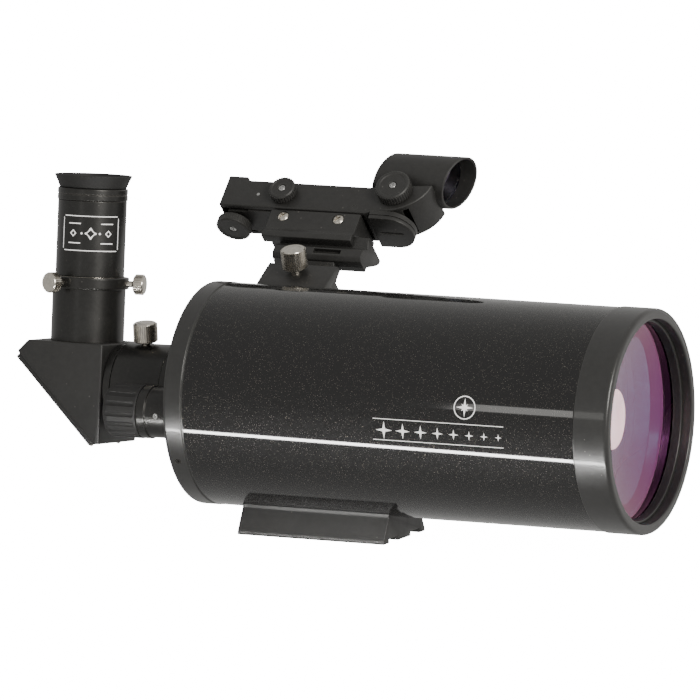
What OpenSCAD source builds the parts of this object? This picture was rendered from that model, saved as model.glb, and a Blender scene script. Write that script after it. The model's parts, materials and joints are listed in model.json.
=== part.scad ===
// Small Maksutov-Cassegrain telescope of 90 mm aperture with a star diagonal, an eyepiece
// and a red-dot finder. Millimetres. +X runs along the optical axis towards the sky, +Z is up,
// and the origin is the centre of the dovetail bar's bottom face.
// Places along the tube are distances from the plane of the rear cell's back face.

/* [Optical tube] */
// Height of the optical axis above the bar's bottom face
axis_h = 62; // [61:0.5:66]
// Distance from the rear face to the middle of the dovetail bar
bar_mid = 62; // [56:0.5:68]
// Outer radius of the front cell, which a dust cap slides over
cell_r = 52; // [51.9:0.1:52.4]
// Outer radius of the rear cell
rear_cell_r = 51.8; // [51.7:0.1:52.2]
// Outer radius of the painted tube
tube_r = 51.6; // [51.4:0.1:51.7]
// Wall of the painted tube
tube_wall = 1.2; // [1:0.1:1.4]
// Where the painted tube leaves the rear cell
tube_start = 10; // [9:0.5:11]
// Where the painted tube meets the front cell
tube_end = 206; // [204:0.5:207]
// Plane of the front cell's face
front_face = 223; // [222:0.5:224]

/* [Optics] */
// Radius of the clear opening in front of the corrector
clear_r = 45.6; // [45:0.1:46]
// Radius of the corrector lens
corrector_r = 46.9; // [46.6:0.1:46.9]
// Radius of curvature of the corrector's hollow front face
corrector_curve = 135; // [130:1:145]
// Thickness of the corrector at its middle
corrector_t = 6.5; // [6:0.1:7]
// Middle of the corrector's front face
corrector_x = 205.5; // [205.5:0.1:206]
// Radius of the aluminised secondary spot
spot_r = 14.3; // [13:0.1:15]
// Radius of the primary mirror
primary_r = 47; // [45:0.5:48]
// Radius of curvature of the primary mirror
primary_curve = 260; // [240:5:300]

/* [Focuser] */
// Sideways place of the focus shaft, negative on the observer's right
focus_y = -34; // [-34.2:0.1:-33.9]
// Height of the focus shaft from the optical axis
focus_z = -5.6; // [-6:0.1:-5.4]
// Radius of the ribbed grip
grip_r = 12.5; // [12:0.1:12.6]
// Radius of the focus shaft
shaft_r = 2.5; // [2.4:0.1:2.6]
// Longest travel of the primary mirror each way
focus_travel = 7.5; // [5:0.5:7.5]

/* [Diagonal and eyepiece] */
// Turn of the diagonal about the optical axis from upright
diag_turn = -5.5; // [-12:0.5:12]
// Distance behind the rear face of the eyepiece axis
eyepiece_x = -64.2; // [-64.5:0.1:-64]
// Half the width of the diagonal's housing
diag_half = 20; // [19:0.5:21]
// Radius of a 1.25 inch barrel
barrel_r = 15.875; // [15.85:0.005:15.88]
// Radial play between a barrel and the bore that holds it
barrel_play = 0.06; // [0.04:0.01:0.08]
// Outer radius of the eyepiece holder
holder_r = 17.1; // [17:0.1:17.4]
// Outer radius of the eyepiece's body
eyepiece_r = 16.1; // [16:0.1:16.6]

/* [Finder] */
// Roll of the finder from upright towards the observer's left
finder_roll = 45; // [40:1:50]
// Half the width of the finder's housing
finder_half = 11; // [10.8:0.1:11.4]
// Outer radius of the finder's lens tube
lens_tube_r = 12.4; // [12.2:0.1:12.6]
// Distance of the lens tube's axis from the optical axis
lens_tube_u = 127.5; // [127.3:0.1:128]
// Forward lean of the lens tube's ends
lens_lean = 19.4; // [15:0.1:22]
// Radial play of a pin or screw in its hole
pin_play = 0.05; // [0.03:0.01:0.08]

/* [Dovetail bar] */
// Length of the bar
bar_len = 74.6; // [70:0.1:80]
// Half the width of the bar's bottom
bar_half = 23; // [22:0.5:24]
// Slope of the bar's sides from upright
bar_slope = 25; // [20:1:30]
// Radius of the tapped hole for a quarter-inch camera screw
tripod_hole_r = 2.55; // [2.5:0.05:2.6]

/* [Hidden] */
$fn = 96;
rear_x = -bar_mid;
tube_bore = tube_r - tube_wall;
spigot_r = tube_bore - 0.05;
bore_r = barrel_r + barrel_play;
front_bore = corrector_r + 0.1;
corrector_seat = corrector_x + 0.85;
baffle_r = 14;
carrier_back = 12.5 + focus_travel;
boss_r = 22;
shank_r = 19.95;
holder_h = [20, 44.7];
collar_h = [44.7, 50.2];
collar_r = 18.5;
cap_h = [50.3, 85.7];
mirror_back = 44;
mirror_front = 60;
bar_top_half = bar_half - 12 * tan(bar_slope);
tripod_x = 14;
shoe_x = [14.5, 49.5];
rail_x = [10.5, 56];
clamp_x = [2.5, 48.5];
clamp_top = 97.8;
housing_low = 98.6;
housing_top = 114;
yaw_x = 30;
pitch_x = 44;
pitch_u = 101.5;
altitude_x = -19.5;
azimuth_x = 6.1;
azimuth_u = 107.1;
brightness_x = 61.8;
brightness_u = 111.8;
cell_x = 61.5;
head_lift = 2;
cell_tail = 52.5;
thumb_r = 1.5;

// ---------- frames and shared shapes ----------

// Upright frame on the optical axis: x from the rear face, z as height from the axis.
module tube_frame() translate([rear_x, 0, axis_h]) children();

// The diagonal's frame, turned about the optical axis.
module diagonal_frame() tube_frame() rotate([diag_turn, 0, 0]) children();

// The finder's frame: z runs radially outwards, -y faces the observer's right.
module finder_frame() tube_frame() rotate([-finder_roll, 0, 0]) children();

// The finder head's frame: the finder's frame, raised by the bracket.
module head_frame() finder_frame() translate([0, 0, head_lift]) children();

// Stands its children up along +X.
module lay_x() rotate([0, 90, 0]) children();

// A solid of revolution about the x axis, from points of [radius, x].
module turned(points) lay_x() rotate_extrude() polygon(points);

// A plain ring or disc about the x axis.
module x_ring(r, bore, x0, x1) turned([[bore, x0], [r, x0], [r, x1], [bore, x1]]);

// A solid of revolution about the z axis, from points of [radius, z].
module upright(points) rotate_extrude() polygon(points);

// A rod along +X from x0 to x1.
module x_rod(r, x0, x1) translate([x0, 0, 0]) lay_x() cylinder(r = r, h = x1 - x0);

// A (y, z) outline pushed along x.
module x_extrude(x0, x1) translate([x0, 0, 0]) rotate([90, 0, 90]) linear_extrude(x1 - x0) children();

// An (x, z) outline pushed to both sides along y.
module y_extrude(half) translate([0, half, 0]) rotate([90, 0, 0]) linear_extrude(2 * half) children();

// Countersunk or cheese-head screw standing on z = 0, shank downwards, with a driver socket.
module screw(head_r, head_h, shank, len, slot_w) difference() {
    union() {
        cylinder(r = head_r, h = head_h);
        translate([0, 0, -len]) cylinder(r = shank, h = len);
    }
    for (a = [0, 90])
        rotate([0, 0, a]) translate([-head_r * 0.6, -slot_w / 2, head_h * 0.45])
            cube([head_r * 1.2, slot_w, head_h]);
}

// Thumbscrew along +z: tip at z0, knurled head from z1 to z2.
module thumbscrew(shank, head_r, z0, z1, z2, flutes) difference() {
    union() {
        translate([0, 0, z0]) cylinder(r = shank, h = z1 - z0 + 0.5);
        upright([[0, z1], [head_r - 0.7, z1], [head_r, z1 + 0.7], [head_r, z2 - 0.7],
            [head_r - 0.7, z2], [0, z2]]);
    }
    for (i = [0:flutes - 1])
        rotate([0, 0, i * 360 / flutes]) translate([head_r + 0.25, 0, z1 - 1])
            cylinder(r = 0.6, h = z2 - z1 + 2, $fn = 16);
}

// Sag of a sphere of radius c at radius r.
function sag(c, r) = c - sqrt(c * c - r * r);

// Points of a spherical face whose middle is at x, bending towards +x by the sag.
function face_points(c, x, r0, r1, n = 14) =
    [for (i = [0:n]) let (r = r0 + (r1 - r0) * i / n) [r, x + sag(c, r)]];

function backwards(v) = [for (i = [len(v) - 1:-1:0]) v[i]];

// ---------- optical tube ----------

module tube() color("#17171a") tube_frame() x_ring(tube_r, tube_bore, tube_start, tube_end);

module rear_cell() color("#1b1b1c") tube_frame() difference() {
    turned([[baffle_r, 6], [baffle_r, 3], [shank_r + 0.05, 3], [shank_r + 0.05, -3], [boss_r, -3],
        [boss_r, 0], [rear_cell_r - 1.6, 0], [rear_cell_r - 0.5, 0.5], [rear_cell_r, 1.6],
        [rear_cell_r, tube_start - 1.6], [rear_cell_r - 0.5, tube_start - 0.7],
        [rear_cell_r - 0.5, tube_start],
        [spigot_r, tube_start], [spigot_r, 24], [spigot_r - 3, 24], [spigot_r - 3, 6]]);
    translate([0, focus_y, focus_z]) x_rod(7, -1, 8);
    for (a = [0:120:240])
        rotate([a, 0, 0]) translate([5, 0, rear_cell_r - 6]) cylinder(r = 1.5, h = 8);
}

module rear_cell_screws() color("#2a2a2c") tube_frame() for (a = [0:120:240])
    rotate([a, 0, 0]) translate([5, 0, rear_cell_r - 1.2]) screw(1.5, 1, 1.2, 3, 0.5);

module front_cell() color("#1b1b1c") tube_frame()
    turned([[spigot_r - 6, 186], [spigot_r, 186], [spigot_r, tube_end], [cell_r, tube_end],
        [cell_r, front_face - 2], [cell_r - 0.6, front_face - 0.6], [cell_r - 1.8, front_face],
        [front_bore + 0.8, front_face], [front_bore, front_face - 0.8], [front_bore, corrector_seat],
        [clear_r - 0.3, corrector_seat], [clear_r - 0.3, 190]]);

module corrector() color("#6a3a78") tube_frame() turned(concat(
    face_points(corrector_curve, corrector_x, 0, corrector_r),
    backwards(face_points(corrector_curve + corrector_t, corrector_x - corrector_t, 0, corrector_r))));

module corrector_ring() color("#202022") tube_frame()
    turned([[clear_r, 214.1], [corrector_r, 214.1], [corrector_r, 218.4],
        [clear_r + 0.4, 218.4], [clear_r, 218]]);

module secondary_spot() color("#e9e4d8") tube_frame() let (c = corrector_curve + corrector_t)
    turned(concat(face_points(c, corrector_x - corrector_t - 0.05, 0, spot_r),
        backwards(face_points(c, corrector_x - corrector_t - 0.35, 0, spot_r))));

module secondary_baffle() color("#151515") tube_frame()
    turned([[spot_r + 0.1, 182], [spot_r + 1.3, 182], [spot_r + 1.8, 199.4], [spot_r + 0.1, 199.4]]);

module baffle_tube() color("#151515") tube_frame() difference() {
    turned([[12.8, 3], [baffle_r, 3], [baffle_r, 6], [20, 6], [20, 9], [baffle_r, 9],
        [baffle_r, 118], [12.8, 118]]);
    for (x = [100:6:112]) x_ring(20, 13.6, x, x + 1);
}

module primary_mirror() color("#dfe3e6") tube_frame() let (hole = baffle_r + 3.1)
    turned(concat([[hole, mirror_back], [primary_r - 0.6, mirror_back], [primary_r, mirror_back + 0.6]],
        backwards(face_points(primary_curve, mirror_front - sag(primary_curve, primary_r),
            hole, primary_r))));

module mirror_carrier() color("#3a3a3d") tube_frame() difference() {
    union() {
        turned([[baffle_r + pin_play, carrier_back], [baffle_r + 3, carrier_back], [baffle_r + 3, 33], [42, 33],
            [42, 36], [24, 36], [24, mirror_back], [baffle_r + 3, mirror_back], [baffle_r + 3, 62],
            [baffle_r + pin_play, 62]]);
        translate([0, focus_y, focus_z]) x_rod(5, 22, 36);
    }
    translate([0, focus_y, focus_z]) x_rod(shaft_r + pin_play, 20, 38);
    for (a = [90:120:330]) rotate([a, 0, 0]) translate([0, 0, 30]) x_rod(6, 30, 40);
}

module mirror_retainer() color("#2a2a2c") tube_frame() x_ring(21, baffle_r + 3.05, 57.2, 60);

// ---------- focuser ----------

module focus_frame() tube_frame() translate([0, focus_y, focus_z]) children();

module focus_bushing() color("#b08d4a") focus_frame()
    turned([[shaft_r + pin_play, 0], [6.95, 0], [6.95, 6], [9, 6], [9, 8], [6.95, 8],
        [6.95, 12], [shaft_r + pin_play, 12]]);

module focus_shaft() color("#b9bbbd") focus_frame()
    turned([[0, -30], [shaft_r, -30], [shaft_r, 34.4], [shaft_r - 0.6, 35], [0, 35]]);

module focus_knob() color("#1c1c1d") focus_frame() difference() {
    turned([[shaft_r, -30], [0, -30], [0, -33.4], [9, -33.4], [9, -16.5], [grip_r - 0.9, -16.5],
        [grip_r - 0.2, -15.8], [grip_r - 0.2, -12.5], [grip_r - 0.8, -11.9], [grip_r - 0.8, -1.1],
        [grip_r - 1.3, -0.6], [shaft_r, -0.6]]);
    rotate([90, 0, 0]) translate([-6.5, 0, 6]) cylinder(r = 1.25, h = 10);
}

module focus_grip() color("#1a1a1b") focus_frame() difference() {
    turned([[9.02, -16.6], [9.02, -33.5], [0, -33.5], [0, -34.1], [10, -34.1], [11.6, -33.2],
        [grip_r, -31.2], [grip_r, -16.6]]);
    for (i = [0:15])
        rotate([i * 22.5, 0, 0]) translate([-36, 0, grip_r + 0.75]) x_rod(1.5, 0, 17);
}

module focus_grub_screw() color("#c9cacc") focus_frame() rotate([90, 0, 0])
    translate([-6.5, 0, 7.5]) difference() {
        cylinder(r = 1.2, h = 3.9);
        translate([0, 0, 3]) cylinder(r = 0.6, h = 2, $fn = 6);
    }

// ---------- visual back ----------

module visual_back() color("#1b1b1c") tube_frame() difference() {
    turned([[bore_r, -9], [bore_r, -41.6], [bore_r + 0.4, -42], [20.1, -42], [20.7, -41.4],
        [20.7, -17], [shank_r, -17], [shank_r, 2.9], [13.2, 2.9], [13.2, -9]]);
    rotate([6, 0, 0]) translate([-31.8, 0, 12]) cylinder(r = 2 + pin_play, h = 12);
}

module visual_back_ring() color("#212123") tube_frame() difference() {
    turned([[shank_r + 0.05, -16.9], [20.8, -16.9], [21.6, -16.1], [21.6, -4], [20.9, -3.1],
        [shank_r + 0.05, -3.1]]);
    for (i = [0:5])
        rotate([i * 60, 0, 0]) translate([-10, 0, 20.9]) cylinder(r = 1.6, h = 3);
}

module visual_back_thumbscrew() color("#8f8a80") tube_frame() rotate([6, 0, 0])
    translate([-31.8, 0, 0]) thumbscrew(2, 5.75, 16.3, 22, 31.4, 28);

// ---------- diagonal ----------

module diagonal_nosepiece() color("#1d1d1e") diagonal_frame()
    turned([[13.6, -46.7], [18.7, -46.7], [19.5, -46], [19.5, -43], [18.9, -42.4], [barrel_r, -42.4],
        [barrel_r, -12.6], [barrel_r - 0.6, -12], [13.6, -12]]);

// The 45 degree frame of the mirror: z runs out of the back of the housing.
module mirror_frame() diagonal_frame() translate([eyepiece_x, 0, 0]) rotate([0, -135, 0]) children();

module diagonal_housing() color("#1b1b1c") difference() {
    diagonal_frame() difference() {
        y_extrude(diag_half) polygon([[-46.7, 20], [-46.7, -26.7], [-49.6, -26.7],
            [-90.8, 14.5], [-85.4, 20]]);
        x_rod(13.6, -66, -40);
        translate([eyepiece_x, 0, -2]) cylinder(r = 14, h = 30);
        translate([eyepiece_x, 0, 17]) cylinder(r = 16.6, h = 5);
    }
    mirror_frame() translate([-24.5, -17, 0]) cube([49, 34, 20]);
    mirror_frame() cover_screw_places(8.6) translate([0, 0, -6]) cylinder(r = 1.1, h = 8);
}

module diagonal_mirror() color("#dfe3e6") mirror_frame()
    translate([-24, -16.5, 0.1]) cube([48, 33, 6]);

// Repeats its children at the cover's four corners, z above the mirror plane.
module cover_screw_places(z) for (x = [-25.9, 25.9], y = [-14.5, 14.5])
    translate([x, y, z]) children();

module diagonal_cover() color("#202021") mirror_frame() difference() {
    union() {
        translate([-27.8, -18.6, 8.6]) cube([55.6, 37.2, 2.6]);
        translate([-22, -15, 6.2]) cube([44, 30, 3]);
    }
    cover_screw_places(8) cylinder(r = 1.15, h = 5);
}

module cover_screws() color("#b8ae9c") mirror_frame() cover_screw_places(11.2)
    screw(2, 1, 1.05, 7, 0.5);

module eyepiece_holder() color("#1c1c1e") diagonal_frame() translate([eyepiece_x, 0, 0])
    upright([[bore_r, 17], [16.55, 17], [16.55, holder_h[0]], [holder_r, holder_h[0]],
        [holder_r, holder_h[1]], [bore_r, holder_h[1]]]);

// Directions of the two clamping screws about the eyepiece axis.
screw_turns = [-110, 10];

module holder_collar() color("#1c1c1e") diagonal_frame() translate([eyepiece_x, 0, 0])
    difference() {
        upright([[bore_r, collar_h[0]], [collar_r - 0.5, collar_h[0]], [collar_r, collar_h[0] + 0.5],
            [collar_r, collar_h[1] - 0.5], [collar_r - 0.5, collar_h[1]], [bore_r + 0.3, collar_h[1]],
            [bore_r, collar_h[1] - 0.3]]);
        for (a = screw_turns)
            rotate([0, 0, a]) translate([0, 0, 47.45]) x_rod(thumb_r + pin_play, 12, 22);
    }

module holder_thumbscrew(turn) color("#b5ac9b") diagonal_frame() translate([eyepiece_x, 0, 47.45])
    rotate([0, 0, turn]) lay_x() thumbscrew(thumb_r, 4.85, 16.3, 21.9, 26.9, 24);

module holder_thumbscrew_a() holder_thumbscrew(screw_turns[0]);

module holder_thumbscrew_b() holder_thumbscrew(screw_turns[1]);

// ---------- eyepiece ----------

module eyepiece_frame() diagonal_frame() translate([eyepiece_x, 0, 0]) children();

module eyepiece_barrel() color("#c4c2bc") eyepiece_frame()
    upright([[14.4, 24.4], [14.8, 24], [barrel_r - 0.5, 24], [barrel_r, 24.5], [barrel_r, 30],
        [barrel_r - 0.5, 30.8], [barrel_r - 0.5, 34.2], [barrel_r, 35], [barrel_r, cap_h[0]],
        [15, cap_h[0]], [15, 54], [14.4, 54]]);

module eyepiece_body() color("#1c1c1e") eyepiece_frame()
    upright([[15.05, cap_h[0]], [eyepiece_r - 0.4, cap_h[0]], [eyepiece_r, cap_h[0] + 0.4],
        [eyepiece_r, cap_h[1]], [12.5, cap_h[1]], [12.5, 80], [14.4, 78], [14.4, 54.1],
        [15.05, 54.1]]);

module eyepiece_top_ring() color("#1c1c1e") eyepiece_frame()
    upright([[10.6, 85.8], [eyepiece_r + 0.3, 85.8], [eyepiece_r + 0.3, 91], [eyepiece_r - 0.2, 91.5],
        [14.5, 91.5], [14.5, 90.6], [10.6, 90.6]]);

module eyecup() color("#161616") eyepiece_frame()
    upright([[12.6, 90.7], [14.4, 90.7], [14.4, 91.6], [15.6, 91.6], [18, 97.4], [17.8, 97.7],
        [17.2, 97.6], [14.6, 92.6], [12.6, 92.6]]);

// A lens about z with both faces bulging.
module lens(r, z0, z1, bulge, curve) let (n = 8) upright(concat(
    [for (i = [0:n]) let (q = r * i / n) [q, z0 - bulge + sag(curve, q)]],
    [for (i = [n:-1:0]) let (q = r * i / n) [q, z1 + bulge - sag(curve, q)]]));

module field_lens() color("#bfd6da") eyepiece_frame() lens(14.3, 60, 66, 2.5, 44);

module eye_lens() color("#bfd6da") eyepiece_frame() lens(10.5, 83.5, 87.6, 1.2, 48);

// ---------- dovetail bar ----------

module dovetail_bar() color("#222224") difference() {
    x_extrude(-bar_len / 2, bar_len / 2) polygon([[-bar_half, 0], [bar_half, 0], [bar_half, 1.5],
        [bar_top_half, 12], [bar_top_half, 15.5], [-bar_top_half, 15.5], [-bar_top_half, 12],
        [-bar_half, 1.5]]);
    tube_frame() x_rod(tube_r + 0.02, 0, 200);
    for (x = [-28, 28]) {
        translate([x, 0, -1]) cylinder(r = 4, h = 5);
        translate([x, 0, 1]) cylinder(r = 2.1, h = 14);
    }
    translate([tripod_x, 0, -1]) cylinder(r = tripod_hole_r, h = 9);
    for (y = [-17, 7]) translate([-bar_len / 2 - 1, y, -1]) cube([bar_len + 2, 10, 3]);
}

module dovetail_screws() color("#8d8d90") for (x = [-28, 28])
    translate([x, 0, 4.0]) mirror([0, 0, 1]) screw(3.6, 2.6, 2, 6, 1);

// ---------- finder shoe and bracket ----------

module finder_shoe() color("#1d1d1e") finder_frame() difference() {
    x_extrude(shoe_x[0], shoe_x[1]) polygon([[-20.5, 46], [20.5, 46], [20.5, 50], [17.4, 61], [16, 65],
        [12.2, 65], [12.2, 64.4], [15, 54], [-15, 54], [-12.2, 64.4], [-12.2, 65], [-16, 65],
        [-17.4, 61], [-20.5, 50]]);
    x_rod(tube_r + 0.02, 0, 100);
    shoe_screw_line() cylinder(r = 2.2 + pin_play, h = 30);
    for (x = [20, 42]) translate([x, 0, 48]) {
        cylinder(r = 1.65, h = 12);
        translate([0, 0, 4.65]) cylinder(r = 3.05, h = 4);
    }
}

module shoe_screws() color("#8d8d90") finder_frame() for (x = [20, 42])
    translate([x, 0, 52.7]) screw(3, 1.25, 1.6, 1.05, 0.8);

// The shoe's thumbscrew leans 60 degrees from the radial line towards the observer's right.
module shoe_screw_line() translate([31, -20.4, 59.3]) rotate([60, 0, 0])
    translate([0, 0, -12]) children();

module shoe_thumbscrew() color("#a79f90") finder_frame() shoe_screw_line()
    thumbscrew(2.2, 6, 5.65, 12, 22, 28);

module finder_bracket() color("#1d1d1e") finder_frame() difference() {
    union() {
        x_extrude(16, 45) polygon([[-14.7, 54.3], [14.7, 54.3], [12.1, 64.2], [-12.1, 64.2]]);
        x_extrude(19, 42) polygon([[-12.1, 64.1], [12.1, 64.1], [6, 65.4], [1.6, 67.5], [1, 70],
            [1, 78], [-4, 73.6], [-7.6, 73.6], [-6.2, 71.6], [-6.2, 67.5], [-8, 65.6]]);
        x_extrude(rail_x[0], rail_x[1]) polygon([[-8.5, 73.5], [-4, 73.5], [6.8, 83.4], [8.7, 85.8],
            [8.7, 88], [-8.7, 88], [-8.7, 85.8], [-6.8, 83.4], [-6.8, 82.4], [-8.8, 81.4],
            [-10.4, 79.6], [-10.4, 75.4]]);
    }
    translate([31, -11, 76.2]) cube([14, 2.8, 2.6]);
    for (x = [24:10:44]) translate([x, -12, 86.6]) cube([4, 24, 3]);
}

module finder_clamp() color("#1e1e1f") head_frame() difference() {
    x_extrude(clamp_x[0], clamp_x[1]) polygon([[-finder_half, clamp_top], [-finder_half, 86.4],
        [-12.2, 84.4], [-12.2, 81.2], [-7.1, 81.2], [-9, 83.7], [-9, 86.2], [9, 86.2],
        [9, 83.7], [7.1, 81.2], [12.2, 81.2], [12.2, 84.4], [finder_half, 86.4],
        [finder_half, clamp_top]]);
    for (x = [9.5, 37.9]) translate([x, 0, 94]) rotate([90, 0, 0]) {
        cylinder(r = 1.5, h = 12);
        translate([0, 0, finder_half - 1.2]) cylinder(r = 2.9, h = 4);
    }
    translate([yaw_x, 0, 90]) cylinder(r = 2.5, h = 10);
}

module clamp_screws() color("#b8a98c") head_frame() for (x = [9.5, 37.9])
    translate([x, -finder_half + 1.2, 94]) rotate([90, 0, 0]) screw(2.8, 1.9, 1.4, 8, 0.8);

module yaw_pin() color("#9a9a9c") head_frame()
    translate([yaw_x, 0, 90]) cylinder(r = 2.5, h = 14.4);

module finder_arm() color("#161617") head_frame() difference() {
    union() {
        translate([-21.6, -7, clamp_top + 0.3]) cube([69, 14, 6.9]);
        translate([-10.9, -8, clamp_top + 0.3]) cube([14.6, 16, 3.4]);
    }
    translate([yaw_x, 0, 90]) cylinder(r = 2.5 + pin_play, h = 20);
    translate([altitude_x, 0, 90]) cylinder(r = 1.5 + pin_play, h = 20);
    translate([pitch_x, 10, pitch_u]) rotate([90, 0, 0]) cylinder(r = 1.5 + pin_play, h = 20);
}

// ---------- finder head ----------

// Side outline of the housing: square tail with a raised pad, rounded nose.
module housing_outline() polygon(concat(
    [[-25.4, housing_low], [-25.4, 116], [-15.4, 116], [-14.8, housing_top], [48, housing_top],
        [78.9, 117.4]],
    [for (a = [8:12:80]) [57 + 21.7 * cos(a) - 1.2 * sin(a), 117.6 - 17.2 * sin(a)]],
    [[54, 100.3], [50, housing_low]]));

module housing_cavity() {
    translate([-24.4, -8.8, 90]) cube([73.4, 17.6, 21.5]);
    translate([48, -8.8, 103]) cube([22, 17.6, 8]);
}

module finder_housing() color("#1e1e1f") head_frame() difference() {
    y_extrude(finder_half) housing_outline();
    housing_cavity();
    translate([0, 0, lens_tube_u]) x_rod(lens_tube_r + 0.02, 30, 100);
    translate([0, 0, 113.9]) x_rod(1.6, -19, -10);
    translate([-7, 0, 105.7]) rotate([90, 0, 0]) cylinder(r = 0.8, h = 20);
    translate([azimuth_x, 0, azimuth_u]) rotate([90, 0, 0]) cylinder(r = 1.5 + pin_play, h = 20);
    translate([brightness_x, 0, brightness_u]) rotate([90, 0, 0]) cylinder(r = 2 + pin_play, h = 20);
    translate([pitch_x, 20, pitch_u]) rotate([90, 0, 0]) cylinder(r = 1.5, h = 40);
}

// Slanted slab that cuts the lens tube's ends, from x0 to x1 at the tube's axis.
module leaning_slab(x0, x1, reach) let (d = reach * tan(lens_lean)) y_extrude(reach)
    polygon([[x0 - d, -reach], [x1 - d, -reach], [x1 + d, reach], [x0 + d, reach]]);

module lens_tube() color("#1e1e1f") head_frame() translate([0, 0, lens_tube_u])
    intersection() {
        x_ring(lens_tube_r, lens_tube_r - 1.1, 20, 110);
        leaning_slab(50, 86, 14);
    }

module finder_lens() color("#7a4a4a") head_frame() translate([0, 0, lens_tube_u])
    intersection() {
        x_rod(lens_tube_r - 1.15, 40, 100);
        leaning_slab(76, 78.2, 14);
    }

module dot_emitter() color("#c02020") head_frame()
    translate([0, 0, 113.9]) x_rod(1.55, -18.8, -13.2);

module pitch_pin() color("#9a9a9c") head_frame()
    translate([pitch_x, 10.9, pitch_u]) rotate([90, 0, 0]) cylinder(r = 1.5, h = 21.8);

module housing_pin() color("#dcdcdc") head_frame()
    translate([-7, -8.9, 105.7]) rotate([90, 0, 0]) cylinder(r = 0.78, h = 2.3);

// Outline of the battery compartment: straight tail, half-round nose.
module cell_outline(r) difference() {
    union() {
        translate([cell_x, 0]) circle(r = r);
        translate([cell_tail, -r]) square([cell_x - cell_tail, 2 * r]);
    }
    translate([cell_tail - 10, -2 * r]) square([10, 4 * r]);
}

module battery_holder() color("#1b1b1c") head_frame() difference() {
    translate([0, 0, 98.15]) linear_extrude(2.2) cell_outline(finder_half);
    translate([cell_x, 0, 98]) cylinder(r = 10.15, h = 1.6);
    y_extrude(20) housing_outline();
}

module coin_cell() color("#b9bbbd") head_frame() translate([cell_x, 0, 0])
    upright([[0, 97], [8.6, 97], [8.8, 97.3], [10, 97.3], [10, 99.3], [9.8, 99.5], [0, 99.5]]);

module battery_cover() color("#1b1b1c") head_frame() difference() {
    translate([0, 0, 95.8]) linear_extrude(2.2) cell_outline(finder_half);
    translate([cell_x, 0, 96.9]) cylinder(r = 10.3, h = 3);
}

// A disc knob along +z with a fluted rim and a dimple.
module disc_knob(r, z0, z1, shank, tip, flutes) difference() {
    union() {
        upright([[0, z0], [r - 0.6, z0], [r, z0 + 0.6], [r, z1 - 0.6], [r - 0.6, z1], [0, z1]]);
        translate([0, 0, tip]) cylinder(r = shank, h = z0 - tip + 0.5);
    }
    for (i = [0:flutes - 1])
        rotate([0, 0, i * 360 / flutes]) translate([r + 0.3, 0, z0 - 1])
            cylinder(r = 0.6, h = z1 - z0 + 2, $fn = 16);
    translate([0, 0, z1 - 1]) cylinder(r = 1.3, h = 2);
}

module brightness_knob() color("#202021") head_frame()
    translate([brightness_x, 0, brightness_u]) rotate([90, 0, 0])
        disc_knob(8.5, finder_half + 0.5, 17, 2, 8.9, 40);

module azimuth_knob() color("#202021") head_frame()
    translate([azimuth_x, 0, azimuth_u]) rotate([90, 0, 0])
        disc_knob(6.5, finder_half + 0.5, 16, 1.5, 7.6, 30);

module altitude_knob() color("#202021") head_frame()
    translate([altitude_x, 0, 0]) mirror([0, 0, 1])
        disc_knob(8.4, -96.9, -92.2, 1.5, -104.6, 44);

tube();
rear_cell();
rear_cell_screws();
front_cell();
corrector();
corrector_ring();
secondary_spot();
secondary_baffle();
baffle_tube();
primary_mirror();
mirror_carrier();
mirror_retainer();
focus_bushing();
focus_shaft();
focus_knob();
focus_grip();
focus_grub_screw();
visual_back();
visual_back_ring();
visual_back_thumbscrew();
diagonal_nosepiece();
diagonal_housing();
diagonal_mirror();
diagonal_cover();
cover_screws();
eyepiece_holder();
holder_collar();
holder_thumbscrew_a();
holder_thumbscrew_b();
eyepiece_barrel();
eyepiece_body();
eyepiece_top_ring();
eyecup();
field_lens();
eye_lens();
dovetail_bar();
dovetail_screws();
finder_shoe();
shoe_screws();
shoe_thumbscrew();
finder_bracket();
finder_clamp();
clamp_screws();
yaw_pin();
finder_arm();
finder_housing();
lens_tube();
finder_lens();
dot_emitter();
pitch_pin();
housing_pin();
battery_holder();
coin_cell();
battery_cover();
brightness_knob();
azimuth_knob();
altitude_knob();
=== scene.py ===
"""Looks of a small Maksutov telescope: tube, focuser, star diagonal, eyepiece and red-dot finder."""

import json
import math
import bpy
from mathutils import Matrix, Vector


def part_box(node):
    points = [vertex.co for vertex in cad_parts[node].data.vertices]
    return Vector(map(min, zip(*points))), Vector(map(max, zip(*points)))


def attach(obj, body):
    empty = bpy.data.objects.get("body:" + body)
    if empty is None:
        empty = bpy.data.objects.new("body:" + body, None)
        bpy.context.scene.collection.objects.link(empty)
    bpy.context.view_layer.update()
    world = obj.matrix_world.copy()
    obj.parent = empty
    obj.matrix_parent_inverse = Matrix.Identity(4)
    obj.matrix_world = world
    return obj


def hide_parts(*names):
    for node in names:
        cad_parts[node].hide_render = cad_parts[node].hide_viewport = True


bl_info = {
    "name": "Maksutov telescope",
    "version": (1, 0, 0),
    "blender": (4, 5, 0),
    "location": "3D View > Sidebar > Telescope",
    "description": "Builds the shells, optics, knobs and fasteners of a small Maksutov telescope",
    "category": "Object",
}

import bmesh
import bpy
from bpy.props import (
    FloatProperty,
    FloatVectorProperty,
    IntProperty,
    PointerProperty,
)
from mathutils import Matrix, Vector

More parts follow.
